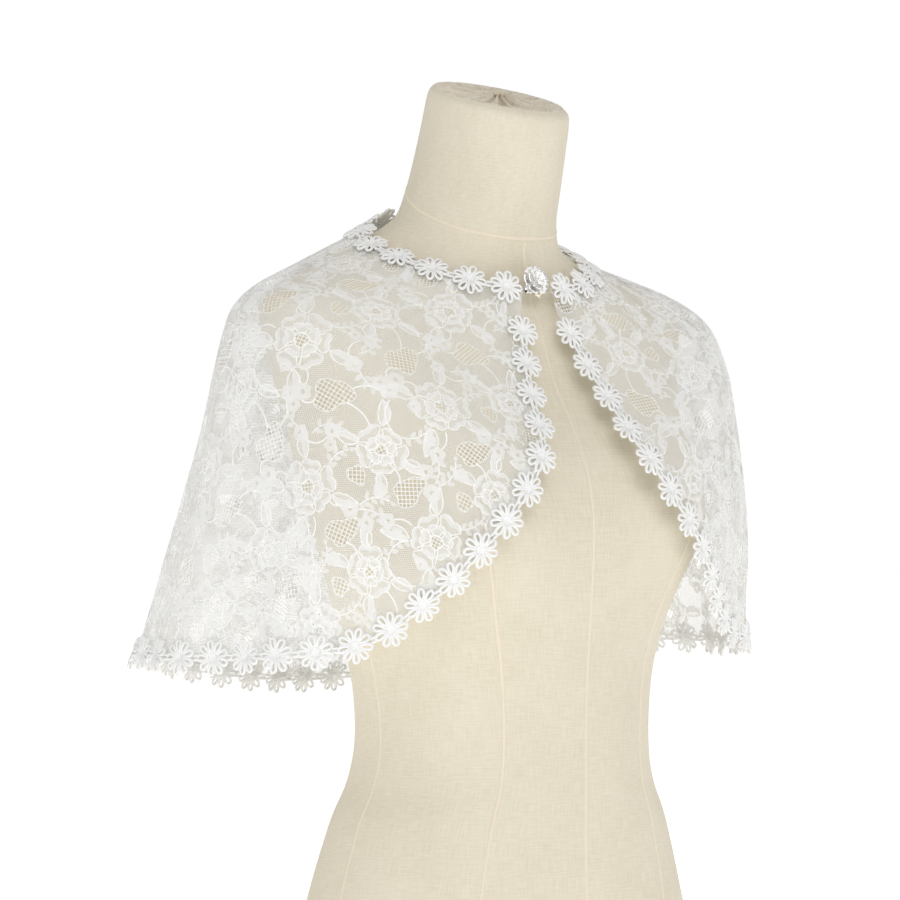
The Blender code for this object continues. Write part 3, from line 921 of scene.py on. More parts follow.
    def draw_field(self, spot: FieldSpot, pitch: float, width: float, rim: float) -> None:
        """Draws an open field: its rim and two crossing sets of threads.

        Args:
            spot: its place and size.
            pitch: distance between threads.
            width: their width.
            rim: the rim's width.
        """
        self.openings.append(spot)
        half = np.array((spot.half_width, spot.half_height))
        count = max(12, int(3.6 * half.min()))
        angle = np.linspace(0.0, FULL_TURN, count, endpoint=False)
        line = half * lobes(angle)[:, None] * np.stack((np.cos(angle), np.sin(angle)), -1)
        ring = turned(line, spot.turn, spot.x, spot.y)
        self.cords.append(Cord(ring, True, rim, self.outline_height))
        reach = 1.3 * half.max()
        along = np.linspace(-reach, reach, 161)
        for way in (45.0, -45.0):
            for offset in np.arange(-int(reach / pitch), int(reach / pitch) + 1) * pitch:
                bar = turned(np.stack((along, np.full_like(along, offset)), -1), way, 0.0, 0.0)
                x, y = (bar / half).T
                bar = bar[np.hypot(x, y) < lobes(np.arctan2(y, x))]
                if len(bar) < 3:
                    continue
                cells = 2 + int(np.linalg.norm(bar[-1] - bar[0]) / self.bar_step)
                bar = bar[0] + (bar[-1] - bar[0]) * np.linspace(0.0, 1.0, cells)[:, None]
                self.fine(turned(bar, spot.turn, spot.x, spot.y), width)

    def draw_stem(self, stem: StemSpot) -> None:
        """Draws a bowed stem.

        Args:
            stem: its ends and its bow.
        """
        start = np.array((stem.x0, stem.y0))
        end = np.array((stem.x1, stem.y1))
        way = end - start
        left = np.array((-way[1], way[0])) / np.linalg.norm(way)
        t = np.linspace(0.0, 1.0, max(4, int(np.linalg.norm(way) / self.stem_step)))[:, None]
        line = start + way * t + left * stem.bow * 4.0 * t * (1.0 - t)
        self.outline(line, closed=False, share=self.stem_share)

    def origins(self, low: Array, high: Array) -> list[tuple[float, float, float]]:
        """Places of the repeat over a flat area, in half drops, each second column turned over.

        Args:
            low: lowest corner in millimetres.
            high: highest corner in millimetres.

        Returns:
            The place of each repeat, with 1 or -1 for its way round.
        """
        places = []
        size = (self.width, self.height)
        columns, rows = (
            range(math.floor(low[k] / size[k]) - 1, math.ceil(high[k] / size[k]) + 2) for k in (0, 1)
        )
        for column in columns:
            drop, way = (0.5 * self.height, -1.0) if column % 2 else (0.0, 1.0)
            for row in rows:
                places.append((column * self.width, row * self.height + drop, way))
        return places


@dataclass
class Nodes:
    """Short ways to add nodes to a new material or world."""

    owner: Material | World
    thread_edge: float = 0.05
    tree: NodeTree = field(init=False)

    def __post_init__(self) -> None:
        """Gives the owner its nodes."""
        self.owner.use_nodes = True
        self.tree = self.owner.node_tree

    def add(self, kind: str, **settings: object) -> Node:
        """Adds a node.

        Args:
            kind: the node's type.
            settings: its properties.

        Returns:
            The node.
        """
        node = self.tree.nodes.new(kind)
        for name, value in settings.items():
            setattr(node, name, value)
        return node

    def put(self, socket: NodeSocket, value: object) -> None:
        """Links a socket to another, or sets its value.

        Args:
            socket: an input.
            value: an output to link, or a value.
        """
        if isinstance(value, NodeSocket):
            self.tree.links.new(value, socket)
        else:
            socket.default_value = value

    def feed(self, node: Node, **values: object) -> Node:
        """Links or sets a node's inputs.

        Args:
            node: the node.
            values: its inputs, named in small letters with _ for a space.

        Returns:
            The node.
        """
        for name, value in values.items():
            self.put(node.inputs[name.replace("_", " ").title()], value)
        return node

    def dress(self, **values: object) -> Material:
        """Links or sets a material's shader in the same way, and gives the material."""
        self.feed(self.tree.nodes["Principled BSDF"], **values)
        return self.owner

    def math(self, operation: str, *values: object) -> NodeSocket:
        """A number worked out from others.

        Args:
            operation: what is worked out.
            values: numbers or outputs.

        Returns:
            The result.
        """
        node = self.add("ShaderNodeMath", operation=operation)
        for socket, value in zip(node.inputs, values):
            self.put(socket, value)
        return node.outputs[0]

    def ramp(self, value: NodeSocket, low: float, high: float, start: float, end: float) -> NodeSocket:
        """A smooth step from start, where the value is low, to end, where it is high."""
        node = self.add("ShaderNodeMapRange", interpolation_type="SMOOTHSTEP")
        limits = {"from_min": low, "from_max": high, "to_min": start, "to_max": end}
        return self.feed(node, value=value, **limits).outputs[0]

    def place(self, source: str, name: str = "") -> NodeSocket:
        """Coordinates or a number of the piece.

        Args:
            source: Object, UV or Attribute.
            name: the UV map or the attribute.

        Returns:
            The coordinates or the number.
        """
        if source == "UV":
            return self.add("ShaderNodeUVMap", uv_map=name).outputs["UV"]
        if source == "Attribute":
            return self.add("ShaderNodeAttribute", attribute_name=name).outputs["Fac"]
        return self.add("ShaderNodeTexCoord").outputs["Object"]

    def lines(self, place: NodeSocket, way: tuple[float, float], pitch: float, share: float) -> NodeSocket:
        """Straight threads across one direction.

        Args:
            place: coordinates in metres.
            way: direction across the threads.
            pitch: distance between threads in metres.
            share: thread width as a share of the pitch.

        Returns:
            1 on a thread and 0 between threads.
        """
        dot = self.add("ShaderNodeVectorMath", operation="DOT_PRODUCT")
        self.put(dot.inputs[0], place)
        dot.inputs[1].default_value = (way[0] / pitch, way[1] / pitch, 0.0)
        part = self.math("FRACT", dot.outputs["Value"])
        away = self.math("ABSOLUTE", self.math("SUBTRACT", part, 0.5))
        half = 0.5 * share
        return self.ramp(away, half - self.thread_edge, half + self.thread_edge, 1.0, 0.0)

    def noise(self, place: NodeSocket, scale: tuple[float, ...], detail: float = 2.0) -> NodeSocket:
        """Soft uneven values from 0 to 1, with their own scale along each axis."""
        place = self.feed(self.add("ShaderNodeMapping"), vector=place, scale=scale).outputs["Vector"]
        texture = self.feed(self.add("ShaderNodeTexNoise"), vector=place, scale=1.0, detail=detail)
        return texture.outputs["Fac"]

    def mix(self, share: NodeSocket, first: Colour, second: Colour) -> NodeSocket:
        """A colour between two colours.

        Args:
            share: how much of the second colour.
            first: the first colour.
            second: the second colour.

        Returns:
            The colour.
        """
        node = self.add("ShaderNodeMix", data_type="RGBA")
        self.put(node.inputs["Factor"], share)
        ends = {"A": first, "B": second}
        for socket in node.inputs:
            if socket.type == "RGBA" and socket.name in ends:
                socket.default_value = (*ends[socket.name], 1.0)
        return next(out for out in node.outputs if out.type == "RGBA")

    def relief(self, height: NodeSocket, distance: float, strength: float) -> NodeSocket:
        """The directions of a surface with relief of this height, its distance in metres."""
        node = self.add("ShaderNodeBump")
        return self.feed(node, strength=strength, distance=distance, height=height).outputs["Normal"]


@dataclass(frozen=True)
class NetFinish:
    """The lace's fine net, clear inside the open fields."""

    colour: Colour = (0.89, 0.89, 0.87)
    shade: Colour = (0.82, 0.82, 0.80)
    pitch: float = 0.0014
    share: float = 0.19
    way: tuple[float, float] = (0.82, 0.57)
    field_rim: tuple[float, float] = (-0.5, 0.3)
    grain: float = 90.0
    roughness: float = 0.8

    def material(self) -> Material:
        """Makes the material.

        Returns:
            The material.
        """
        nodes = Nodes(bpy.data.materials.new("lace_net"))
        flat = nodes.place("UV", "cut")
        across, along = self.way
        rising = nodes.lines(flat, (across, along), self.pitch, self.share)
        falling = nodes.lines(flat, (-across, along), self.pitch, self.share)
        closed = nodes.ramp(nodes.place("Attribute", "opening"), *self.field_rim, 0.0, 1.0)
        uneven = nodes.noise(flat, (self.grain,) * 3)
        return nodes.dress(
            alpha=nodes.math("MULTIPLY", nodes.math("MAXIMUM", rising, falling), closed),
            base_color=nodes.mix(uneven, self.shade, self.colour),
            roughness=self.roughness,
        )


@dataclass(frozen=True)
class ClothworkFinish:
    """The woven petals and leaves: fine ribs, closer or lighter by the piece's own density."""

    colour: Colour = (0.95, 0.95, 0.935)
    shade: Colour = (0.91, 0.91, 0.90)
    pitch: float = 0.0009
    rib_share: float = 0.5
    rib_contrast: float = 0.22
    roughness: float = 0.75

    def material(self) -> Material:
        """Makes the material.

        Returns:
            The material.
        """
        nodes = Nodes(bpy.data.materials.new("lace_clothwork"))
        ribs = nodes.lines(nodes.place("UV", "weave"), (1.0, 0.0), self.pitch, self.rib_share)
        lift = nodes.math("MULTIPLY", nodes.math("SUBTRACT", ribs, 0.5), self.rib_contrast)
        alpha = nodes.math("ADD", nodes.place("Attribute", "closeness"), lift)
        return nodes.dress(
            alpha=nodes.math("MINIMUM", nodes.math("MAXIMUM", alpha, 0.0), 1.0),
            base_color=nodes.mix(ribs, self.shade, self.colour),
            roughness=self.roughness,
        )


@dataclass(frozen=True)
class ThreadFinish:
    """Soft thread with a fine twist."""

    name: str
    colour: Colour
    shade: Colour
    roughness: float
    sheen: float
    grain: float
    stretch: float = 1.6
    relief_height: float = 0.0003
    relief_share: float = 0.5

    def material(self) -> Material:
        """Makes the material.

        Returns:
            The material.
        """
        nodes = Nodes(bpy.data.materials.new(self.name))
        scale = (self.grain, self.grain, self.grain * self.stretch)
        twist = nodes.noise(nodes.place("Object"), scale, 3.0)
        return nodes.dress(
            base_color=nodes.mix(twist, self.shade, self.colour),
            roughness=self.roughness,
            sheen_weight=self.sheen,
            normal=nodes.relief(twist, self.relief_height, self.relief_share),
        )


@dataclass(frozen=True)
class LinenFinish:
    """Cream plain weave with uneven slubs along both threads, with painted shade darkening the troughs of
    gathers.
    """

    name: str
    colour: Colour
    shade: Colour
    pitch: float = 0.0009
    painted_trough_shade: float = 0.0
    thread_share: float = 0.6
    slub_along: float = 70.0
    slub_across: float = 900.0
    cloud_grain: float = 14.0
    slub_tone: float = 0.70
    cross_tone: float = 0.14
    cloud_tone: float = 0.22
    tones: tuple[float, float] = (0.30, 0.74)
    roughness: float = 0.9
    sheen: float = 0.08
    relief_height: float = 0.0004
    relief_share: float = 0.35

    def material(self) -> Material:
        """Makes the material.

        Returns:
            The material.
        """
        nodes = Nodes(bpy.data.materials.new(self.name))
        place = nodes.place("UV", "weave")
        weft = nodes.lines(place, (0.0, 1.0), self.pitch, self.thread_share)
        warp = nodes.lines(place, (1.0, 0.0), self.pitch, self.thread_share)
        cross = nodes.math("MULTIPLY", nodes.math("ADD", weft, warp), 0.5)
        weft_slub = nodes.noise(place, (self.slub_along, self.slub_across, 1.0))
        warp_slub = nodes.noise(place, (self.slub_across, self.slub_along, 1.0))
        slubs = nodes.math("MULTIPLY", nodes.math("ADD", weft_slub, warp_slub), 0.5)
        cloud = nodes.noise(place, (self.cloud_grain, self.cloud_grain, 1.0))
        tone = nodes.math("MULTIPLY", slubs, self.slub_tone)
        tone = nodes.math("ADD", tone, nodes.math("MULTIPLY", cross, self.cross_tone))
        tone = nodes.math("ADD", tone, nodes.math("MULTIPLY", cloud, self.cloud_tone))
        # Painted shade: where the gathers sink or pinch, the colour is pushed towards the dark end to stand
        # in for the shade that falls there.
        if self.painted_trough_shade:
            painted_shade = nodes.math("MULTIPLY", nodes.place("Attribute", "painted_trough_shade"), self.painted_trough_shade)
            tone = nodes.math("SUBTRACT", tone, painted_shade)
        relief = nodes.math("ADD", slubs, nodes.math("MULTIPLY", cross, 0.5))
        return nodes.dress(
            base_color=nodes.mix(nodes.ramp(tone, *self.tones, 0.0, 1.0), self.shade, self.colour),
            roughness=self.roughness,
            sheen_weight=self.sheen,
            normal=nodes.relief(relief, self.relief_height, self.relief_share),
        )


@dataclass(frozen=True)
class MetalFinish:
    """Polished plate or a backed stone, slightly uneven."""

    name: str
    colour: Colour
    shade: Colour
    roughness: float
    grain: float = 400.0
    dullest: float = 1.4
    brightest: float = 0.6

    def material(self) -> Material:
        """Makes the material.

        Returns:
            The material.
        """
        nodes = Nodes(bpy.data.materials.new(self.name))
        uneven = nodes.noise(nodes.place("Object"), (self.grain,) * 3)
        low = self.roughness * self.brightest
        high = self.roughness * self.dullest
        return nodes.dress(
            base_color=nodes.mix(uneven, self.shade, self.colour),
            roughness=nodes.ramp(uneven, 0.2, 0.8, low, high),
            metallic=1.0,
        )


@dataclass(frozen=True)
class FloorFinish:
    """Pale matt floor that gives off a little light."""

    colour: Colour = (0.97, 0.97, 0.97)
    shade: Colour = (0.94, 0.94, 0.94)
    grain: float = 0.8
    roughness: float = 0.9
    glow: float = 0.65

    def material(self) -> Material:
        """Makes the material.

        Returns:
            The material.
        """
        nodes = Nodes(bpy.data.materials.new("floor"))
        uneven = nodes.noise(nodes.place("Object"), (self.grain,) * 3)
        return nodes.dress(
            base_color=nodes.mix(uneven, self.shade, self.colour),
            roughness=self.roughness,
            emission_color=(1.0, 1.0, 1.0, 1.0),
            emission_strength=self.glow,
        )


CORD_THREAD = ThreadFinish("lace_cord", (0.96, 0.96, 0.945), (0.91, 0.91, 0.895), 0.65, 0.10, 1400.0)
TRIM_THREAD = ThreadFinish("trim_thread", (0.97, 0.97, 0.96), (0.90, 0.90, 0.89), 0.55, 0.15, 1600.0)
SEAM_THREAD = ThreadFinish("linen_seam", (0.87, 0.78, 0.63), (0.82, 0.72, 0.57), 0.85, 0.05, 900.0)
LINEN = LinenFinish("linen", (0.83, 0.77, 0.63), (0.70, 0.63, 0.48))
# The gathered linen carries painted shade in the troughs of its pleats and knot.
LINEN_GATHERED = LinenFinish("linen_gathered", (0.93, 0.85, 0.72), (0.52, 0.45, 0.34), painted_trough_shade=0.34)
SILVER = MetalFinish("silver", (0.95, 0.94, 0.92), (0.80, 0.79, 0.77), 0.24)
CLEAR_STONE = MetalFinish("clear_stone", (0.97, 0.98, 1.00), (0.80, 0.84, 0.90), 0.05)
DARK_STONE = MetalFinish("dark_stone", (0.05, 0.05, 0.06), (0.02, 0.02, 0.03), 0.05)
WARM_STONE = MetalFinish("warm_stone", (0.95, 0.78, 0.62), (0.80, 0.60, 0.45), 0.08)


def new_piece(name: str, mesh: Mesh, slot: str, *finishes: Material) -> Object:
    """Puts a finished mesh in the scene, riding on the part.

    Args:
        name: the piece's name.
        mesh: its mesh, in place.
        slot: the record's material slot; not used.
        finishes: its materials.

    Returns:
        The piece.
    """
    piece = bpy.data.objects.new(name, mesh)
    bpy.context.scene.collection.objects.link(piece)
    for finish in finishes:
        mesh.materials.append(finish)
    mesh.shade_smooth()
    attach(piece, BODY)
    LOG.info("%s: %d faces", name, len(mesh.polygons))
    return piece


def mesh_of(name: str, shell: BMesh) -> Mesh:
    """Makes a mesh of a finished bmesh, and frees that.

    Args:
        name: the mesh's name.
        shell: the bmesh.

    Returns:
        The mesh.
    """
    mesh = bpy.data.meshes.new(name)
    shell.to_mesh(mesh)
    shell.free()
    return mesh


def loft(shell: BMesh, loops: list[list[BMVert]]) -> None:
    """Joins loops of as many vertices each, and closes the first and the last.

    Args:
        shell: the bmesh that holds them.
        loops: the loops, in order.
    """
    count = len(loops[0])
    for low, high in zip(loops, loops[1:]):
        for side in range(count):
            after = (side + 1) % count
            shell.faces.new((low[side], low[after], high[after], high[side]))
    shell.faces.new(loops[0][::-1])
    shell.faces.new(loops[-1])


def grid_mesh(name: str, columns: int, rows: int) -> tuple[Mesh, Array, Array]:
    """A flat grid to be laid on a surface.

    Args:
        name: the mesh's name.
        columns: cells across.
        rows: cells along.

    Returns:
        The mesh, and the shares across and along of its vertices.
    """
    shell = bmesh.new()
    bmesh.ops.create_grid(shell, x_segments=columns, y_segments=rows, size=0.5)
    mesh = mesh_of(name, shell)
    places = np.empty(3 * len(mesh.vertices))
    mesh.vertices.foreach_get("co", places)
    return mesh, np.clip(places[0::3] + 0.5, 0.0, 1.0), np.clip(places[1::3] + 0.5, 0.0, 1.0)


def set_places(mesh: Mesh, points: Array) -> None:
    """Moves a mesh's vertices to their points."""
    mesh.vertices.foreach_set("co", np.ascontiguousarray(points, dtype=np.float32).ravel())
    mesh.update()


def corner_vertices(mesh: Mesh) -> Array:
    """The vertex number at each corner of a mesh's faces."""
    return np.array([corner.vertex_index for corner in mesh.loops])


def set_uv(mesh: Mesh, name: str, places: Array) -> None:
    """Gives a mesh a UV map from one flat place for each vertex."""
    layer = mesh.uv_layers.new(name=name)
    layer.uv.foreach_set("vector", places[corner_vertices(mesh)].astype(np.float32).ravel())


def set_values(mesh: Mesh, name: str, values: Array) -> None:
    """Gives a mesh one number for each vertex."""
    attribute = mesh.attributes.new(name, "FLOAT", "POINT")
    attribute.data.foreach_set("value", values.astype(np.float32))


def array_mesh(name: str, points: Array, *parts: Array) -> tuple[Mesh, Array]:
    """A joined mesh from arrays, with only the points that its faces use.

    Args:
        name: the mesh's name.
        points: all points.
        parts: arrays of faces, each with as many corners a face.

    Returns:
        The mesh, and the number in points of each of its vertices.
    """
    used = np.unique(np.concatenate([part.ravel() for part in parts]))
    faces = [face for part in parts for face in np.searchsorted(used, part).tolist()]
    mesh = bpy.data.meshes.new(name)
    mesh.from_pydata(points[used].tolist(), [], faces)
    mesh.validate()
    return mesh, used


@dataclass
class TubeSet:
    """Many threads as one mesh: points along lines, with a ring of corners at each."""

    points: Array
    before: Array
    after: Array
    up: Array
    section: Array
    valid: Array

    def corners(self) -> Array:
        """The corners round each point, section by section.

        Returns:
            The corners, one row each.
        """
        ahead = np.where(self.valid[self.after, None], self.points[self.after], self.points)
        behind = np.where(self.valid[self.before, None], self.points[self.before], self.points)
        side = unit(np.cross(self.up, unit(ahead - behind)))
        return (
            self.points[:, None]
            + side[:, None] * self.section[..., 0, None]
            + self.up[:, None] * self.section[..., 1, None]
        ).reshape(-1, 3)

    def faces(self, starts: Array) -> Array:
        """The sides of the tube from each of these points to the next.

        Args:
            starts: point numbers.

        Returns:
            Four corners a face.
        """
        count = self.section.shape[1]
        ring = np.arange(count)
        follow = (ring + 1) % count
        a = starts[:, None] * count
        b = self.after[starts][:, None] * count
        return np.stack((a + ring, a + follow, b + follow, b + ring), -1).reshape(-1, 4)


def round_threads(name: str, lines: Array, ups: Array, radius: float, sides: int) -> Mesh:
    """Closed round threads along many loops of as many points each.

    Args:
        name: the mesh's name.
        lines: the points of each loop.
        ups: the outward direction at each point.
        radius: the thread's radius.
        sides: the thread's sides.

    Returns:
        The mesh.
    """
    count = lines.shape[1]
    index = np.arange(lines.shape[0] * count)
    first = index - index % count
    around = np.linspace(0.0, FULL_TURN, sides, endpoint=False)
    section = radius * np.stack((np.cos(around), np.sin(around)), -1)
    tubes = TubeSet(
        lines.reshape(-1, 3),
        first + (index - 1) % count,
        first + (index + 1) % count,
        ups.reshape(-1, 3),
        np.tile(section, (len(index), 1, 1)),
        np.ones(len(index), dtype=bool),
    )
    return array_mesh(name, tubes.corners(), tubes.faces(index))[0]


@dataclass
class ClothworkSet:
    """All clothwork of the cape: points, faces, each face's angle from the middle back, and looks."""

    points: Array
    faces: Array
    turn: Array
    density: Array
    weave: Array


@dataclass
class ThreadSet:
    """All raised threads of the cape, with the start and the angle of each length."""

    tubes: TubeSet
    corners: Array
    starts: Array
    turn: Array


@dataclass
class LaceCape:
    """The cape's three lace panels: net, clothwork and raised threads."""

    shape: CapeShape
    cut: FlatCut
    repeat: LaceRepeat
    net_wall: float = 0.0003
    front_cells: tuple[int, int] = (104, 92)
    back_cells: tuple[int, int] = (190, 92)
    seam_inset: float = 0.0006
    chart_x: float = 18.0
    chart_y: float = -20.0
    cord_foot: float = 0.1
    far_off: float = 50.0
    tiles: Array = field(init=False)

    def __post_init__(self) -> None:
        """Places the repeats over the flat cut."""
        flat = self.cut.flat.reshape(-1, 2) / MM
        self.tiles = np.array(self.repeat.origins(flat.min(axis=0), flat.max(axis=0)))
        self.tiles[:, 0] += self.chart_x
        self.tiles[:, 1] += self.chart_y

    def build(self) -> None:
        """Builds every panel's pieces and says how each was cut."""
        net = NetFinish().material()
        clothwork = ClothworkFinish().material()
        cord = CORD_THREAD.material()
        fills = self.fill_arrays()
        threads = self.thread_arrays()
        for panel in Panel:
            ground, flat = self.net_panel(panel, net)
            work = self.fill_panel(panel, clothwork, fills)
            lines = self.thread_panel(panel, cord, threads)
            size = np.ptp(flat, axis=0)
            area = self.flat_area(ground.data, flat)
            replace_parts(ground, panel.node)
            LOG.info("%s cut: %.3f x %.3f m, %.4f m2", panel.value, size[0], size[1], area)

    def flat_area(self, mesh: Mesh, flat: Array) -> float:
        """The flat area of a panel.

        Args:
            mesh: the panel's mesh.
            flat: the flat place of each vertex.

        Returns:
            Square metres.
        """
        quads = flat[corner_vertices(mesh)].reshape(-1, 4, 2)
        first = quads[:, 2] - quads[:, 0]
        second = quads[:, 3] - quads[:, 1]
        return float(np.abs(first[:, 0] * second[:, 1] - first[:, 1] * second[:, 0]).sum() * 0.5)

    def opening_distance(self, flat: Array) -> Array:
        """How far flat places lie outside the repeat's open fields, in millimetres.

        Args:
            flat: flat places in millimetres.

        Returns:
            Distances, less than 0 inside a field.
        """
        nearest = np.full(len(flat), self.far_off)
        for x, y, way in self.tiles:
            for spot in self.repeat.openings:
                across = flat[:, 0] - (x + way * spot.x)
                along = flat[:, 1] - (y + spot.y)
                turn = math.radians(spot.turn) * way
                c, s = math.cos(turn), math.sin(turn)
                right = way * (across * c + along * s) / spot.half_width
                ahead = (along * c - across * s) / spot.half_height
                share = np.hypot(right, ahead) - lobes(np.arctan2(ahead, right))
                nearest = np.minimum(nearest, share * min(spot.half_width, spot.half_height))
        return nearest

    def net_panel(self, panel: Panel, finish: Material) -> tuple[Object, Array]:
        """Builds one panel's net as a thin shell on the cape's form.

        Args:
            panel: which panel.
            finish: the net's material.

        Returns:
            The piece, and the flat place of each vertex.
        """
        name = "lace_net_" + panel.value
        cells = self.back_cells if panel is Panel.BACK else self.front_cells
        mesh, u, v = grid_mesh(name, *cells)
        if panel is Panel.BACK:
            u = self.seam_inset + u * (1.0 - 2.0 * self.seam_inset)
            place, angle = self.shape.back_net(u, v)
        else:
            side = -1 if panel is Panel.RIGHT else 1
            place, angle = self.shape.front_net(u * (1.0 - self.seam_inset), v, side)
        flat = self.cut.spread(place, angle)
        set_places(mesh, self.shape.points(place, angle))
        set_uv(mesh, "cut", flat)
        set_values(mesh, "opening", self.opening_distance(flat / MM))
        piece = new_piece(name, mesh, "lace", finish)
        solid = piece.modifiers.new("wall", "SOLIDIFY")
        solid.thickness = self.net_wall
        solid.offset = 0.0
        piece.visible_shadow = False
        return piece, flat

    def carry(self, places: Array) -> tuple[Array, Array, Array, Array]:
        """Carries the repeat's places to every repeat on the cape.

        Args:
            places: places in the repeat, in millimetres.

        Returns:
            Points, outward directions, angles from the middle back, and which are on the cape.
        """
        spread = places[None] * np.stack((self.tiles[:, 2], np.ones(len(self.tiles))), -1)[:, None]
        flat = (spread + self.tiles[:, None, :2]).reshape(-1, 2) * MM
        place, turn, on_cape = self.cut.find(flat)
        angle = turn + math.pi
        points = np.zeros((len(flat), 3))
        normals = np.tile((0.0, 0.0, 1.0), (len(flat), 1))
        points[on_cape] = self.shape.points(place[on_cape], angle[on_cape])
        normals[on_cape] = self.shape.normals(place[on_cape], angle[on_cape])
        return points, normals, turn, on_cape

    def on_panel(self, panel: Panel, turn: Array) -> Array:
        """Which angles from the middle back lie on a panel.

        Args:
            panel: the panel.
            turn: the angles.

        Returns:
            True for each that does.
        """
        seam = math.pi - math.radians(self.shape.seam_angle)
        if panel is Panel.BACK:
            return np.abs(turn) <= seam
        return turn > seam if panel is Panel.RIGHT else turn < -seam

    def lace_piece(self, name: str, mesh: Mesh, finish: Material) -> Object:
        """Puts petals or threads in the scene, shaded face by face and without a shadow.

        Args:
            name: the piece's name.
            mesh: its mesh.
            finish: its material.

        Returns:
            The piece.
        """
        piece = new_piece(name, mesh, "lace", finish)
        piece.data.shade_flat()
        piece.visible_shadow = False
        return piece

    def fill_arrays(self) -> ClothworkSet:
        """Carries the repeat's clothwork to the whole cape.

        Returns:
            All clothwork.
        """
        places, faces, density, lift = [], [], [], []
        start = 0
        for fill in self.repeat.fills:
            columns, rows = fill.grid.shape[:2]
            size = columns * rows
            faces.append(grid_cells(columns, rows, start))
            places.append(fill.grid.reshape(-1, 2))
            density.append(np.full(size, fill.density))
            lift.append(np.full(size, fill.lift * MM))
            start += size
        flat = np.concatenate(places)
        points, normals, turn, on_cape = self.carry(flat)
        count = len(self.tiles)
        points = points + normals * np.tile(np.concatenate(lift), count)[:, None]
        cells = (np.concatenate(faces)[None] + start * np.arange(count)[:, None, None]).reshape(-1, 4)
        cells = cells[on_cape[cells].all(axis=1)]
        a, b, c = (points[cells[:, k]] for k in range(3))
        inward = (np.cross(b - a, c - b) * normals[cells[:, 0]]).sum(axis=1) < 0.0
        cells[inward] = cells[inward, ::-1]
        closeness = np.tile(np.concatenate(density), count)
        weave = np.tile(flat * MM, (count, 1))
        return ClothworkSet(points, cells, turn[cells].mean(axis=1), closeness, weave)

    def fill_panel(self, panel: Panel, finish: Material, work: ClothworkSet) -> Object:
        """Builds one panel's woven petals and leaves.

        Args:
            panel: which panel.
            finish: the clothwork's material.
            work: the cape's clothwork.

        Returns:
            The piece.
        """
        name = "lace_clothwork_" + panel.value
        mesh, used = array_mesh(name, work.points, work.faces[self.on_panel(panel, work.turn)])
        set_uv(mesh, "weave", work.weave[used])
        set_values(mesh, "closeness", work.density[used])
        return self.lace_piece(name, mesh, finish)

    def thread_arrays(self) -> ThreadSet:
        """Carries the repeat's threads to the whole cape.

        Returns:
            All raised threads.
        """
        places, before, after, starts, sections = [], [], [], [], []
        offset = 0
        for cord in self.repeat.cords:
            count = len(cord.line)
            index = np.arange(count)
            places.append(cord.line)
            if cord.closed:
                before.append(offset + (index - 1) % count)
                after.append(offset + (index + 1) % count)
                starts.append(offset + index)
            else:
                before.append(offset + np.maximum(index - 1, 0))
                after.append(offset + np.minimum(index + 1, count - 1))
                starts.append(offset + index[:-1])
            half = 0.5 * cord.width * MM
            foot = self.cord_foot * MM
            section = np.array(((-half, foot), (half, foot), (0.0, foot + cord.height * MM)))
            sections.append(np.tile(section, (count, 1, 1)))
            offset += count
        points, normals, turn, on_cape = self.carry(np.concatenate(places))
        count = len(self.tiles)
        shift = offset * np.arange(count)[:, None]
        tubes = TubeSet(
            points,
            (np.concatenate(before)[None] + shift).ravel(),
            (np.concatenate(after)[None] + shift).ravel(),
            normals,
            np.tile(np.concatenate(sections), (count, 1, 1)),
            on_cape,
        )
        all_starts = (np.concatenate(starts)[None] + shift).ravel()
        all_starts = all_starts[on_cape[all_starts] & on_cape[tubes.after[all_starts]]]
        middle = 0.5 * (turn[all_starts] + turn[tubes.after[all_starts]])
        return ThreadSet(tubes, tubes.corners(), all_starts, middle)

    def thread_panel(self, panel: Panel, finish: Material, threads: ThreadSet) -> Object:
        """Builds one panel's raised threads, closed where the panel ends.

        Args:
            panel: which panel.
            finish: the thread's material.
            threads: the cape's threads.

        Returns:
            The piece.
        """
        tubes = threads.tubes
        mine = threads.starts[self.on_panel(panel, threads.turn)]
        chosen = np.zeros(len(tubes.points), dtype=bool)
        chosen[mine] = True
        first = mine[~chosen[tubes.before[mine]] | (tubes.before[mine] == mine)]
        ahead = tubes.after[mine]
        final = ahead[~chosen[ahead]]
        ends = np.concatenate((first[:, None] * 3 + (2, 1, 0), final[:, None] * 3 + (0, 1, 2)))
        name = "lace_cord_" + panel.value
        mesh, _ = array_mesh(name, threads.corners, tubes.faces(mine), ends)
        return self.lace_piece(name, mesh, finish)


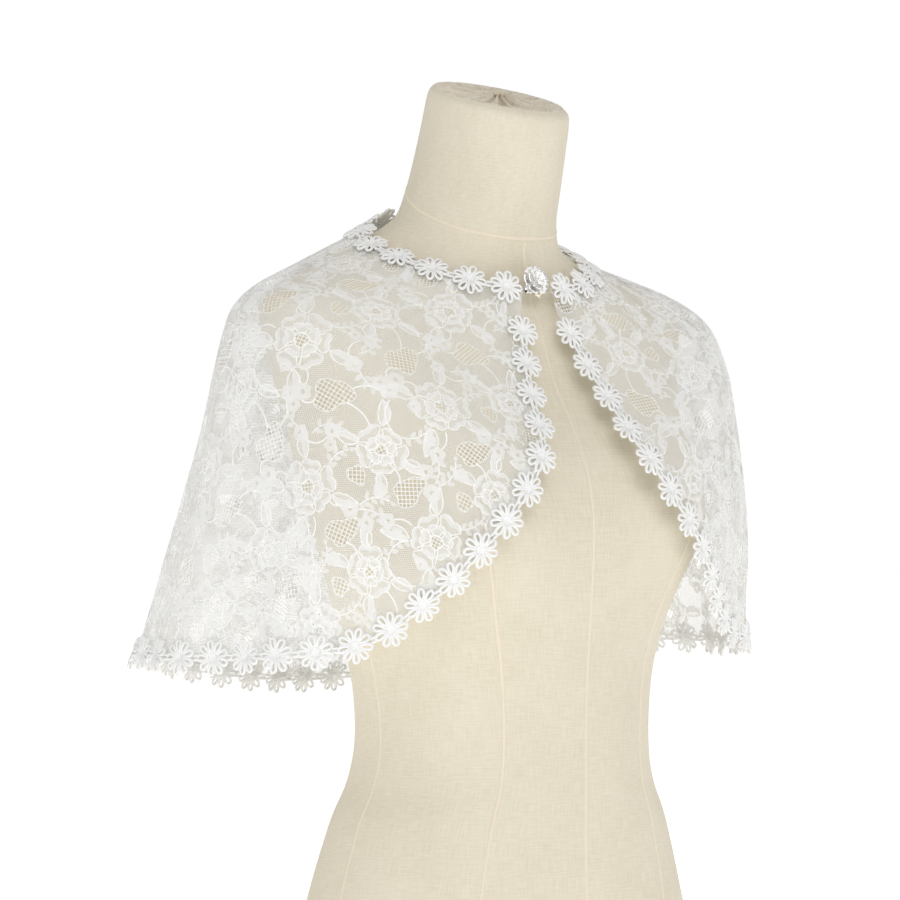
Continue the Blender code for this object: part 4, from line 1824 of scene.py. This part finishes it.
@dataclass
class DaisyTrim:
    """The chain of daisies along the neck, and along the front edges and hem."""

    shape: CapeShape
    wall: float = 0.0012
    lay_gap: float = 0.0004
    radius: float = 0.0138
    pitch: float = 0.0288
    inset: float = 0.002
    reach: float = 0.018
    edge_start: float = 0.024
    petals: int = 9
    petal_foot: float = 0.0034
    petal_half_width: float = 0.00235
    thread: float = 0.00118
    loop_points: int = 12
    loop_sides: int = 5
    eye_radius: float = 0.0038
    link_shift: float = 0.0015
    eye_height: float = 0.0014
    eye_rings: Levels = ((1.0, 0.0), (1.0, 0.9), (0.84, 1.2), (0.66, 1.2), (0.48, 0.8), (0.2, 0.5))
    eye_foot: float = 0.25
    eye_rib: float = 0.72
    eye_rib_gain: float = 0.2
    petal_lift: float = 0.0008
    link_inset: float = 0.0022
    link_share: float = 0.9
    link_sides: int = 6
    samples: int = 160
    skin_columns: int = 120
    skin_rows: int = 80
    tree: BVHTree = field(init=False)
    neck: Array = field(init=False)
    edge: Array = field(init=False)

    def __post_init__(self) -> None:
        """Works out the two borders and the skin that the daisies lie on."""
        count = self.samples
        corner = math.radians(EDGE_POINTS[0].angle)
        neck_angle = np.linspace(FULL_TURN - corner, corner, 4 * count)
        self.neck = self.border(np.zeros_like(neck_angle), neck_angle)[:, ::-1]
        side = self.shape.edge(np.linspace(0.0, len(EDGE_POINTS) - 1.0, 3 * count))
        back = np.linspace(self.shape.seam_angle, 360.0 - self.shape.seam_angle, 2 * count)[1:-1]
        angle = np.concatenate((-side[:, 0], -back, side[::-1, 0]))
        place = np.concatenate((side[:, 1], np.full_like(back, self.shape.last), side[::-1, 1]))
        self.edge = self.border(place, np.radians(angle))
        self.tree = self.skin()

    def border(self, place: Array, angle: Array) -> Array:
        """Points and outward directions of the cape's outer face along a border."""
        normals = self.shape.normals(place, angle)
        return np.stack((self.shape.points(place, angle) + normals * 0.5 * self.wall, normals))

    def skin(self) -> BVHTree:
        """The cape's outer face, with a strip past each border.

        Returns:
            The face, to be searched.
        """
        grids = []
        across = np.linspace(0.0, 1.0, self.skin_columns + 1)
        u, v = np.meshgrid(across, np.linspace(0.0, 1.0, self.skin_rows + 1), indexing="ij")
        nets = [self.shape.front_net(u, v, side) for side in (-1, 1)]
        for net in (*nets, self.shape.back_net(u, v)):
            grids.append(self.shape.points(*net) + self.shape.normals(*net) * 0.5 * self.wall)
        for border in (self.neck, self.edge):
            points, normals = border
            along = unit(np.gradient(points, axis=0))
            out = unit(np.cross(normals, along))
            grids.append(np.stack((points, points + out * self.reach), axis=1))
        points, faces, start = [], [], 0
        for grid in grids:
            cells = grid_cells(*grid.shape[:2], start)
            faces.append(np.concatenate((cells[:, (0, 1, 3)], cells[:, (1, 2, 3)])))
            points.append(grid.reshape(-1, 3))
            start += grid.shape[0] * grid.shape[1]
        return BVHTree.FromPolygons(
            np.concatenate(points).tolist(), np.concatenate(faces).tolist(), all_triangles=True
        )

    def seats(self, border: Array, margin: float) -> list[Seat]:
        """Where each daisy sits along a border.

        Args:
            border: the border's points and directions.
            margin: how far from both of the border's ends the chain stops.

        Returns:
            Middle, along, outwards and up of each daisy.
        """
        points, normals = border
        steps = np.linalg.norm(np.diff(points, axis=0), axis=1)
        length = np.concatenate(([0.0], np.cumsum(steps)))
        free = length[-1] - margin - margin - 2.0 * self.radius
        count = round(free / self.pitch) + 1
        stops = margin + self.radius + free * np.arange(count) / (count - 1)

        def read(rows: Array) -> Array:
            """The border's own values at each daisy."""
            return np.stack([np.interp(stops, length, rows[:, k]) for k in range(3)], -1)

        up = unit(read(normals))
        out = unit(np.cross(up, unit(read(np.gradient(points, axis=0)))))
        return list(zip(read(points) - out * self.inset, np.cross(out, up), out, up))

    def lay(self, point: Array, up: Array) -> tuple[Array, Array]:
        """The nearest place on the cape's skin, and its direction on the side of up."""
        location, normal = map(np.array, self.tree.find_nearest(Vector(point))[:2])
        return location, normal if normal @ up > 0.0 else -normal

    def petal_line(self) -> Array:
        """The loop of one petal: distance out, distance across and lift.

        Returns:
            One row for each point.
        """
        angle = np.linspace(0.0, FULL_TURN, self.loop_points, endpoint=False)
        tip = self.radius - self.thread
        middle = 0.5 * (tip + self.petal_foot)
        out = middle - 0.5 * (tip - self.petal_foot) * np.cos(angle)
        share = (out - self.petal_foot) / (tip - self.petal_foot)
        across = self.petal_half_width * np.sin(angle) * (0.40 + 0.85 * share)
        lift = self.petal_lift * np.sin(math.pi * np.clip(share, 0.0, 1.0)) ** 0.8
        return np.stack((out, across, lift), -1)

    def build(self, name: str, node: str, border: Array, margin: float, finish: Material) -> None:
        """Builds one chain of daisies.

        Args:
            name: the piece's name.
            node: the CAD node it stands for.
            border: the border it follows.
            margin: how far from both of the border's ends it stops.
            finish: its material.
        """
        loop = self.petal_line()
        base = self.lay_gap + self.thread
        seats = self.seats(border, margin)
        lines: list[Array] = []
        ups: list[Array] = []
        shell = bmesh.new()
        for number, seat in enumerate(seats):
            middle, along, out, up = seat
            for petal in range(self.petals):
                turn = FULL_TURN * petal / self.petals
                spoke = along * math.cos(turn) + out * math.sin(turn)
                cross = out * math.cos(turn) - along * math.sin(turn)
                laid = [self.lay(middle + spoke * a + cross * b, up) for a, b, _ in loop]
                lines.append(np.array([p + n * (base + h) for (p, n), h in zip(laid, loop[:, 2])]))
                ups.append(np.array([n for _, n in laid]))
            self.add_eye(shell, seat)
            if number:
                for shift in (-self.link_shift, self.link_shift):
                    self.add_link(shell, seats[number - 1], seat, shift)
        loops = round_threads(name + "_loops", np.array(lines), np.array(ups), self.thread, self.loop_sides)
        shell.from_mesh(loops)
        bpy.data.meshes.remove(loops)
        shell.normal_update()
        bmesh.ops.recalc_face_normals(shell, faces=shell.faces)
        piece = new_piece(name, mesh_of(name, shell), "trim_thread", finish)
        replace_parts(piece, node)

    def add_eye(self, shell: BMesh, seat: Seat) -> None:
        """Adds a daisy's ribbed round eye.

        Args:
            shell: the trim's bmesh.
            seat: where the daisy sits.
        """
        middle, along, out, up = seat
        _, normal = self.lay(middle, up)
        loops = []
        for share, height in self.eye_rings:
            verts = []
            for side in range(2 * self.petals):
                turn = math.pi * side / self.petals
                rib = self.eye_rib + self.eye_rib_gain * (1.0 - share) if side % 2 else 1.0
                spoke = along * math.cos(turn) + out * math.sin(turn)
                ground, _ = self.lay(middle + spoke * self.eye_radius * share, up)
                lift = self.lay_gap + self.eye_height * (self.eye_foot + height * rib)
                verts.append(shell.verts.new(Vector(ground + normal * lift)))
            loops.append(verts)
        loft(shell, loops)

    def add_link(self, shell: BMesh, first: Seat, second: Seat, shift: float) -> None:
        """Adds one of the two short bars that join two daisies' petals.

        Args:
            shell: the trim's bmesh.
            first: where the first daisy sits.
            second: where the next one sits.
            shift: how far outwards the bar lies from their middles.
        """
        reach = self.radius - self.link_inset
        ground_a, up_a = self.lay(first[0] + first[1] * reach + first[2] * shift, first[3])
        ground_b, _ = self.lay(second[0] - second[1] * reach + second[2] * shift, second[3])
        thick = self.thread * self.link_share
        bar = bmesh.ops.create_cone(
            shell, cap_ends=True, segments=self.link_sides, radius1=thick, radius2=thick, depth=1.0
        )["verts"]
        lift = up_a * (self.lay_gap + self.thread)
        a, b = Vector(ground_a + lift), Vector(ground_b + lift)
        way = b - a
        turn = way.to_track_quat("Z", "Y").to_matrix().to_4x4()
        place = Matrix.Translation((a + b) * 0.5) @ turn @ Matrix.Diagonal((1.0, 1.0, way.length, 1.0))
        bmesh.ops.transform(shell, matrix=place, verts=bar)


class StoneKind(Enum):
    """The clasp's stones, in the order of the piece's materials."""

    CLEAR = 0
    DARK = 1
    WARM = 2


class PetalRow(NamedTuple):
    """A round of the clasp's petals."""

    count: int
    turn: float
    inner: float
    outer: float
    half_angle: float
    foot: float
    rim: float


class StoneRow(NamedTuple):
    """A round or short row of the clasp's stones."""

    count: int
    reach: float
    height: float
    radius: float
    start: float
    span: float
    kind: StoneKind


PETAL_ROWS = (
    PetalRow(6, 0, 0.0026, 0.0112, 27, 0.0012, 0.003),
    PetalRow(5, 36, 0.002, 0.0084, 31, 0.0028, 0.0056),
    PetalRow(4, 10, 0.0014, 0.0055, 37, 0.0044, 0.0078),
)

STONE_ROWS = (
    StoneRow(18, 0.0106, 0.0036, 0.0008, 0, 360, StoneKind.CLEAR),
    StoneRow(10, 0.0079, 0.0062, 0.00076, 8, 360, StoneKind.CLEAR),
    StoneRow(8, 0.0048, 0.008, 0.0007, 20, 360, StoneKind.CLEAR),
    StoneRow(3, 0.0016, 0.0066, 0.0008, 0, 360, StoneKind.CLEAR),
    StoneRow(3, 0.0106, 0.0014, 0.00105, 206, 32, StoneKind.CLEAR),
    StoneRow(1, 0.0132, 0.0014, 0.00125, 219, 0, StoneKind.DARK),
    StoneRow(3, 0.011, 0.0014, 0.001, 264, 24, StoneKind.WARM),
    StoneRow(1, 0.0128, 0.0014, 0.00095, 276, 0, StoneKind.WARM),
)


class BackLobe(NamedTuple):
    """Where the clasp's back stands out: by how much, at which angle and how widely."""

    reach: float
    angle: float
    spread: float


BACK_LOBES = (
    BackLobe(0.0058, 222.0, 15.0),
    BackLobe(0.0048, 276.0, 15.0),
)


@dataclass
class RoseClasp:
    """The silver rose with its stones, over the fastened hook and eye."""

    shape: CapeShape
    rise: float = 0.0055
    wall: float = 0.0012
    back_radius: float = 0.0086
    back_thickness: float = 0.0012
    petal_wall: float = 0.0005
    wire_ring: float = 0.12
    wire_half_height: float = 0.07
    wire_depth: float = 0.00145
    wire_radius: float = 0.00042
    wire_points: int = 48
    wire_sides: int = 8
    wire_angle: float = 6.6
    wire_half_angle: float = 6.2
    back_sides: int = 40
    back_levels: Levels = ((0.0, 1.0), (0.7, 1.0), (1.0, 0.93))
    petal_columns: int = 8
    petal_rows: int = 5
    petal_cup: float = 0.0006
    stone_sides: int = 8
    stone_table: float = 0.55
    stone_depth: float = 0.7
    middle: Array = field(init=False)
    axes: Array = field(init=False)

    def __post_init__(self) -> None:
        """Finds the rose's place at the neck's middle front."""
        zero = np.zeros(1)
        base = self.shape.points(zero, zero)[0]
        normal = self.shape.normals(zero, zero)[0]
        across = np.array((1.0, 0.0, 0.0))
        across = unit(across - normal * (across @ normal))
        up = np.cross(across, normal)
        up = up if up[2] > 0.0 else -up
        self.axes = np.stack((across, up, normal))
        self.middle = base + up * self.rise - normal * 0.5 * self.wall

    def at(self, reach: float, angle: float, height: float) -> Vector:
        """A place on the rose from its distance out, angle and height."""
        local = np.array((reach * math.cos(angle), reach * math.sin(angle), height))
        return Vector(self.middle + local @ self.axes)

    def build(self) -> None:
        """Builds the rose, its stones and the finish of the hook and eye."""
        silver = SILVER.material()
        rose = bmesh.new()
        self.add_back(rose)
        for row in PETAL_ROWS:
            for number in range(row.count):
                self.add_petal(rose, row, math.radians(row.turn + 360.0 * number / row.count))
        bmesh.ops.recalc_face_normals(rose, faces=rose.faces)
        name = "clasp_rose_petals"
        piece = new_piece(name, mesh_of(name, rose), "silver", silver)
        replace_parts(piece, "clasp_rose")
        self.build_stones()
        self.build_wire("clasp_hook_wire", "clasp_hook", -1.0, silver)
        self.build_wire("clasp_eye_wire", "clasp_eye", 1.0, silver)

    def build_wire(self, name: str, node: str, side: float, finish: Material) -> None:
        """Builds the hook or the eye as a bent wire behind a neck corner.

        Args:
            name: the piece's name.
            node: the CAD node it stands for.
            side: -1 for the figure's right and 1 for its left.
            finish: its material.
        """
        turn = np.linspace(0.0, FULL_TURN, self.wire_points, endpoint=False)
        across = np.sign(np.cos(turn)) * np.abs(np.cos(turn)) ** 0.35
        along = np.sign(np.sin(turn)) * np.abs(np.sin(turn)) ** 0.6
        place = self.wire_ring + self.wire_half_height * along
        angle = np.radians(side * (self.wire_angle + self.wire_half_angle * across))
        normals = self.shape.normals(place, angle)
        line = self.shape.points(place, angle) - normals * self.wire_depth
        mesh = round_threads(name, line[None], normals[None], self.wire_radius, self.wire_sides)
        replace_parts(new_piece(name, mesh, "silver", finish), node)

    def add_back(self, rose: BMesh) -> None:
        """Adds the flat back with its leaf and its drop.

        Args:
            rose: the rose's bmesh.
        """
        loops = []
        for height, share in self.back_levels:
            loop = []
            for side in range(self.back_sides):
                angle = FULL_TURN * side / self.back_sides
                reach = self.back_radius
                for lobe in BACK_LOBES:
                    away = (angle - math.radians(lobe.angle)) / math.radians(lobe.spread)
                    reach += lobe.reach * math.exp(-(away**2))
                place = self.at(reach * share, angle, height * self.back_thickness)
                loop.append(rose.verts.new(place))
            loops.append(loop)
        loft(rose, loops)

    def add_petal(self, rose: BMesh, row: PetalRow, turn: float) -> None:
        """Adds one cupped petal with a rolled rim, as a thin shell.

        Args:
            rose: the rose's bmesh.
            row: the petal's round.
            turn: its angle.
        """
        across, along = self.petal_columns, self.petal_rows
        layers = []
        for offset in (0.0, self.petal_wall):
            layer = []
            for column in range(across + 1):
                s = 2.0 * column / across - 1.0
                line = []
                for step in range(along + 1):
                    t = step / along
                    reach = row.inner + (row.outer * (1.0 - 0.10 * s**4) - row.inner) * t
                    angle = turn + math.radians(row.half_angle) * s * (0.75 + 0.25 * t)
                    cup = self.petal_cup * s * s * t
                    height = row.foot + (row.rim - row.foot) * t**1.6 + cup + offset
                    line.append(rose.verts.new(self.at(reach, angle, height)))
                layer.append(line)
            layers.append(layer)
        low, high = layers
        for layer in layers:
            for left, right in zip(layer, layer[1:]):
                for step in range(along):
                    rose.faces.new((left[step], right[step], right[step + 1], left[step + 1]))
        rims = [
            ([line[0] for line in low], [line[0] for line in high]),
            ([line[-1] for line in low], [line[-1] for line in high]),
            (low[0], high[0]),
            (low[-1], high[-1]),
        ]
        for under, over in rims:
            for step in range(len(under) - 1):
                rose.faces.new((under[step], under[step + 1], over[step + 1], over[step]))

    def build_stones(self) -> None:
        """Builds the cut stones in their rounds."""
        stones = bmesh.new()
        for row in STONE_ROWS:
            for number in range(row.count):
                share = number / row.count if row.span >= 360.0 else number / max(row.count - 1, 1)
                angle = math.radians(row.start + row.span * share)
                self.add_stone(stones, row, angle)
        bmesh.ops.recalc_face_normals(stones, faces=stones.faces)
        mesh = mesh_of("clasp_stones", stones)
        finishes = [finish.material() for finish in (CLEAR_STONE, DARK_STONE, WARM_STONE)]
        piece = new_piece("clasp_stones", mesh, "silver", *finishes)
        piece.data.shade_flat()

    def add_stone(self, stones: BMesh, row: StoneRow, angle: float) -> None:
        """Adds one stone: a flat back, sloping sides and a flat table.

        Args:
            stones: the stones' bmesh.
            row: the stone's row.
            angle: its angle on the rose.
        """
        made = bmesh.ops.create_cone(
            stones,
            cap_ends=True,
            segments=self.stone_sides,
            radius1=row.radius,
            radius2=row.radius * self.stone_table,
            depth=row.radius * self.stone_depth,
        )["verts"]
        turn = Matrix(self.axes.T.tolist()).to_4x4()
        place = Matrix.Translation(self.at(row.reach, angle, row.height)) @ turn
        bmesh.ops.transform(stones, matrix=place, verts=made)
        faces = {face for vert in made for face in vert.link_faces}
        for face in faces:
            face.material_index = row.kind.value


class SeamLine(NamedTuple):
    """A seam of the form's cover, straight up from its foot: angle in degrees and top ring."""

    angle: float
    top_ring: float


SEAM_LINES = (
    SeamLine(0, 20.4),
    SeamLine(180, 20.4),
    SeamLine(-33, 10.4),
    SeamLine(33, 10.4),
    SeamLine(-88, 12),
    SeamLine(88, 12),
    SeamLine(142, 13),
    SeamLine(-142, 13),
)


class NeckLevel(NamedTuple):
    """A level of the neck's top or cover: its share of the rim, its rise and its pleats' depth."""

    share: float
    rise: float
    pleat: float = 0.0


NECK_DISH = (
    NeckLevel(0.975, 0.0009),
    NeckLevel(0.945, 0.0008),
    NeckLevel(0.920, -0.0006),
    NeckLevel(0.905, -0.0035),
    NeckLevel(0.895, -0.0075),
    NeckLevel(0.500, -0.0085),
    NeckLevel(0.040, -0.0085),
)


COVER_LEVELS = (
    NeckLevel(0.990, -0.0004, 0.0),
    NeckLevel(0.970, 0.0014, 0.0001),
    NeckLevel(0.920, 0.0012, 0.0008),
    NeckLevel(0.780, -0.0006, 0.0020),
    NeckLevel(0.550, -0.0012, 0.0026),
    NeckLevel(0.330, -0.0006, 0.0036),
    NeckLevel(0.180, 0.0016, 0.0036),
    NeckLevel(0.040, 0.0036, 0.0012),
)


@dataclass
class DressForm:
    """The linen torso with its seams, and the gathered cover of its neck."""

    segments: int = 144
    steps: int = 6
    bust_fullness: float = 0.021
    bust_angle: float = math.radians(40.0)
    bust_angle_spread: float = math.radians(24.0)
    bust_height: float = 0.405
    bust_height_spread: float = 0.055
    neck_seam_ring: float = 20.5
    neck_seam_rise: float = 0.45
    seam_width: float = 0.0034
    seam_height: float = 0.00035
    seam_sink: float = 0.0002
    seam_crown: float = 0.4
    seam_foot_ring: float = 0.1
    seam_points: int = 180
    arm_ring: float = 13.4
    arm_half_rings: float = 2.1
    arm_angle: float = 90.0
    arm_half_angle: float = 24.0
    pleats: int = 18
    small_pleats: int = 17
    cover_wall: float = 0.0005
    knot_radius: float = 0.0074
    knot_height: float = 0.0082
    knot_sink: float = 0.0015
    step: float = 0.02
    join: float = 1e-5

    def points(self, place: Array, angle: Array) -> Array:
        """Points on the form.

        Args:
            place: ring numbers.
            angle: angles in radians, from -pi to pi.

        Returns:
            The points, one row each.
        """
        ring = spline(np.array(FORM_RINGS), place)
        point = ring_points(ring, angle)
        rise = bump(np.abs(angle) - self.bust_angle, self.bust_angle_spread)
        rise = rise * bump(point[..., 2] - self.bust_height, self.bust_height_spread)
        outward = np.stack((point[..., 0], point[..., 1] - ring[..., 1], np.zeros_like(rise)), -1)
        return point + unit(outward) * (self.bust_fullness * rise)[..., None]

    def normals(self, place: Array, angle: Array) -> Array:
        """Outward directions of the form.

        Args:
            place: ring numbers.
            angle: angles in radians.

        Returns:
            One row each.
        """
        high = np.minimum(place + self.step, len(FORM_RINGS) - 1.0)
        low = np.maximum(place - self.step, 0.0)
        up = self.points(high, angle) - self.points(low, angle)
        along = self.points(place, angle + self.step) - self.points(place, angle - self.step)
        return unit(np.cross(along, up))

    def build(self) -> None:
        """Builds the torso, its seams and the neck's cover."""
        self.build_torso()
        self.build_seams()
        self.build_cap()
        self.build_knot()

    def build_torso(self) -> None:
        """Builds the torso as one closed linen body."""
        last = len(FORM_RINGS) - 1
        rows = last * self.steps
        mesh, u, v = grid_mesh("linen_torso", self.segments, rows + len(NECK_DISH))
        angle = -math.pi + FULL_TURN * u
        row = np.rint(v * (rows + len(NECK_DISH))).astype(int)
        points = self.points(np.minimum(row / self.steps, last), angle)
        rim, middle = self.rim(angle)
        for number, level in enumerate(NECK_DISH, start=rows + 1):
            here = row == number
            points[here] = middle + (rim[here] - middle) * level.share
            points[here, 2] += level.rise
        set_places(mesh, points)
        set_uv(mesh, "weave", np.stack((angle * 0.14, points[:, 2]), -1))
        self.close(mesh)
        piece = new_piece("linen_torso", mesh, "linen", LINEN.material())
        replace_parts(piece, "form_torso")

    def close(self, mesh: Mesh, ends: bool = True) -> None:
        """Joins a rolled grid's two edges.

        Args:
            mesh: the grid, rolled up.
            ends: whether its open ends are filled too.
        """
        body = bmesh.new()
        body.from_mesh(mesh)
        bmesh.ops.remove_doubles(body, verts=body.verts, dist=self.join)
        if ends:
            rims = [edge for edge in body.edges if edge.is_boundary]
            bmesh.ops.holes_fill(body, edges=rims, sides=0)
        bmesh.ops.recalc_face_normals(body, faces=body.faces)
        body.to_mesh(mesh)
        body.free()

    def build_seams(self) -> None:
        """Builds the cover's seams as low ridges on the torso."""
        lines = []
        for seam in SEAM_LINES:
            place = np.linspace(0.0, 1.0, self.seam_points) * (seam.top_ring - self.seam_foot_ring)
            angle = np.full(self.seam_points, math.radians(seam.angle))
            lines.append((self.seam_foot_ring + place, angle))
        around = np.linspace(-math.pi, math.pi, 181)
        lines.append((self.neck_seam_ring + self.neck_seam_rise * (1.0 - np.cos(around)), around))
        for side in (-1.0, 1.0):
            turn = np.linspace(0.0, FULL_TURN, 121)
            angle = side * np.radians(self.arm_angle + self.arm_half_angle * np.cos(turn))
            lines.append((self.arm_ring + self.arm_half_rings * np.sin(turn), angle))
        points, faces, ends, offset = [], [], [], 0
        half = 0.5 * self.seam_width
        crown = self.seam_crown * half
        foot = ((-half, -self.seam_sink), (half, -self.seam_sink))
        section = np.array((*foot, (crown, self.seam_height), (-crown, self.seam_height)))
        for place, angle in lines:
            count = len(place)
            index = np.arange(count)
            tubes = TubeSet(
                self.points(place, angle),
                np.maximum(index - 1, 0),
                np.minimum(index + 1, count - 1),
                self.normals(place, angle),
                np.tile(section, (count, 1, 1)),
                np.ones(count, dtype=bool),
            )
            points.append(tubes.corners())
            faces.append(tubes.faces(index[:-1]) + offset)
            tail = offset + 4 * (count - 1)
            ends.append(np.array(((3, 2, 1, 0),)) + offset)
            ends.append(np.array(((0, 1, 2, 3),)) + tail)
            offset += 4 * count
        mesh, _ = array_mesh("linen_seams", np.concatenate(points), np.concatenate(faces + ends))
        new_piece("linen_seams", mesh, "linen", SEAM_THREAD.material())

    def rim(self, angle: Array) -> tuple[Array, Array]:
        """The neck's top edge and its middle.

        Args:
            angle: angles in radians.

        Returns:
            The edge's points, and the middle.
        """
        top = FORM_RINGS[-1]
        y = 0.5 * (top.front_y + top.back_y)
        z = 0.5 * (top.front_height + top.back_height)
        return ring_points(np.tile(np.array(top), (len(angle), 1)), angle), np.array((0.0, y, z))

    def build_cap(self) -> None:
        """Builds the neck's gathered cover: uneven pleats that run in to a knot."""
        mesh, u, v = grid_mesh("neck_cover", 320, 20)
        angle = -math.pi + FULL_TURN * u
        rim, middle = self.rim(angle)
        levels = np.array(COVER_LEVELS)
        share = np.interp(v, np.linspace(0.0, 1.0, len(levels)), levels[:, 0])
        rise, depth = (np.interp(-share, -levels[:, 0], levels[:, k]) for k in (1, 2))
        wander = 0.9 * np.sin(2.0 * angle) + 0.5 * np.sin(5.0 * angle)
        large = np.abs(np.sin(0.5 * self.pleats * angle + wander))
        small = np.abs(np.sin(self.small_pleats * angle + 0.8 * np.sin(3.0 * angle + 0.6)))
        points = middle + (rim - middle) * share[:, None]
        fold = 1.3 * large + 0.7 * small - 1.2
        points[:, 2] += rise + depth * fold
        set_places(mesh, points)
        # Painted shade: each pleat's trough gets a value that darkens its colour, fading out where the pleats
        # are shallow.
        set_values(mesh, "painted_trough_shade", np.clip(0.1 - fold, 0.0, 1.3) * np.clip(depth / 0.0024, 0.0, 1.0))
        set_uv(mesh, "weave", np.stack((angle * 0.03, share * 0.05), -1))
        self.close(mesh, ends=False)
        piece = new_piece("neck_cover", mesh, "linen_gathered", LINEN_GATHERED.material())
        solid = piece.modifiers.new("wall", "SOLIDIFY")
        solid.thickness = self.cover_wall
        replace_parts(piece, "form_neck_cap")

    def build_knot(self) -> None:
        """Builds the small knot of gathered cloth in the middle of the neck's cover."""
        mesh, u, v = grid_mesh("neck_knot", 72, 12)
        angle = -math.pi + FULL_TURN * u
        _, middle = self.rim(angle)
        swell = np.sin(math.pi * np.clip(v, 0.03, 0.97)) ** 0.6
        pinch = 1.0 + 0.24 * np.cos(8.0 * angle + 2.2 * v + 0.8) + 0.10 * np.cos(3.0 * angle)
        reach = self.knot_radius * swell * pinch
        height = -self.knot_sink + self.knot_height * v + 0.0006 * np.cos(5.0 * angle) * v
        points = np.stack((reach * np.cos(angle), reach * np.sin(angle), height), -1) + middle
        set_places(mesh, points)
        # Painted shade: the knot's pinches get a value that darkens their colour.
        set_values(mesh, "painted_trough_shade", np.clip(2.4 * (1.05 - pinch), 0.0, 1.0))
        set_uv(mesh, "weave", np.stack((angle * 0.006, v * 0.006), -1))
        self.close(mesh)
        new_piece("neck_knot", mesh, "linen_gathered", bpy.data.materials["linen_gathered"])


class Lamp(NamedTuple):
    """A soft box: where it stands from the part, its size and its power."""

    name: str
    turn: float
    lift: float
    reach: float
    size: float
    power: float


LAMPS = (
    Lamp("key", -20.0, 46.0, 3.4, 2.2, 29.0),
    Lamp("fill", -80.0, 20.0, 3.6, 2.4, 8.0),
)


@dataclass
class Studio:
    """The pale floor, the soft lights and the camera."""

    azimuth: float = math.radians(-38.0)
    distance: float = 3.2
    height: float = 0.456
    frame_width: float = 0.6818
    sideways: float = -0.0379
    sensor: float = 36.0
    floor_radius: float = 12.0
    sky_seen: float = 1.02
    sky_light: float = 0.46
    aim_height: float = 0.42

    def build(self) -> None:
        """Builds the stage."""
        self.build_camera()
        self.build_floor()
        self.build_lights()

    def build_camera(self) -> None:
        """Sets the camera at the photograph's angle."""
        data = bpy.data.cameras.new("camera")
        data.sensor_width = self.sensor
        data.lens = self.sensor * self.distance / self.frame_width
        data.clip_end = 100.0
        camera = bpy.data.objects.new("camera", data)
        bpy.context.scene.collection.objects.link(camera)
        back = Vector((math.sin(self.azimuth), -math.cos(self.azimuth), 0.0))
        right = Vector((math.cos(self.azimuth), math.sin(self.azimuth), 0.0))
        camera.location = back * self.distance + right * self.sideways + Vector((0.0, 0.0, self.height))
        camera.rotation_euler = (0.5 * math.pi, 0.0, self.azimuth)
        bpy.context.scene.camera = camera

    def build_floor(self) -> None:
        """Lays a round pale floor."""
        floor = bmesh.new()
        bmesh.ops.create_circle(floor, cap_ends=True, segments=96, radius=self.floor_radius)
        mesh = mesh_of("floor", floor)
        mesh.materials.append(FloorFinish().material())
        piece = bpy.data.objects.new("floor", mesh)
        bpy.context.scene.collection.objects.link(piece)

    def build_lights(self) -> None:
        """Sets a white surround and two soft boxes."""
        scene = bpy.context.scene
        scene.view_settings.view_transform = "Standard"
        scene.view_settings.look = "None"
        scene.world = bpy.data.worlds.new("studio")
        nodes = Nodes(scene.world)
        path = nodes.add("ShaderNodeLightPath").outputs
        seen = nodes.math("MAXIMUM", path["Is Camera Ray"], path["Is Glossy Ray"])
        limits = {"to_min": self.sky_light, "to_max": self.sky_seen}
        strength = nodes.feed(nodes.add("ShaderNodeMapRange"), value=seen, **limits).outputs["Result"]
        sky = nodes.tree.nodes["Background"]
        nodes.feed(sky, strength=strength, color=(1.0, 1.0, 1.0, 1.0))
        for lamp in LAMPS:
            data = bpy.data.lights.new(lamp.name, "AREA")
            data.shape = "DISK"
            data.size = lamp.size
            data.energy = lamp.power
            box = bpy.data.objects.new(lamp.name, data)
            scene.collection.objects.link(box)
            a, e = math.radians(lamp.turn), math.radians(lamp.lift)
            way = Vector((math.sin(a) * math.cos(e), -math.cos(a) * math.cos(e), math.sin(e)))
            box.location = way * lamp.reach + Vector((0.0, 0.0, self.aim_height))
            box.rotation_euler = way.to_track_quat("Z", "Y").to_euler()


def main() -> None:
    """Builds the dressed capelet, its form and the studio, in order."""
    logging.basicConfig(level=logging.INFO, format="%(name)s %(message)s")
    shape = CapeShape()
    Studio().build()
    DressForm().build()
    LaceCape(shape, FlatCut(shape), LaceRepeat()).build()
    trim = DaisyTrim(shape)
    thread = TRIM_THREAD.material()
    trim.build("daisy_trim_neck", "neck_trim", trim.neck, 0.0, thread)
    trim.build("daisy_trim_edge", "edge_trim", trim.edge, trim.edge_start, thread)
    RoseClasp(shape).build()


if __name__ == "__main__":
    main()
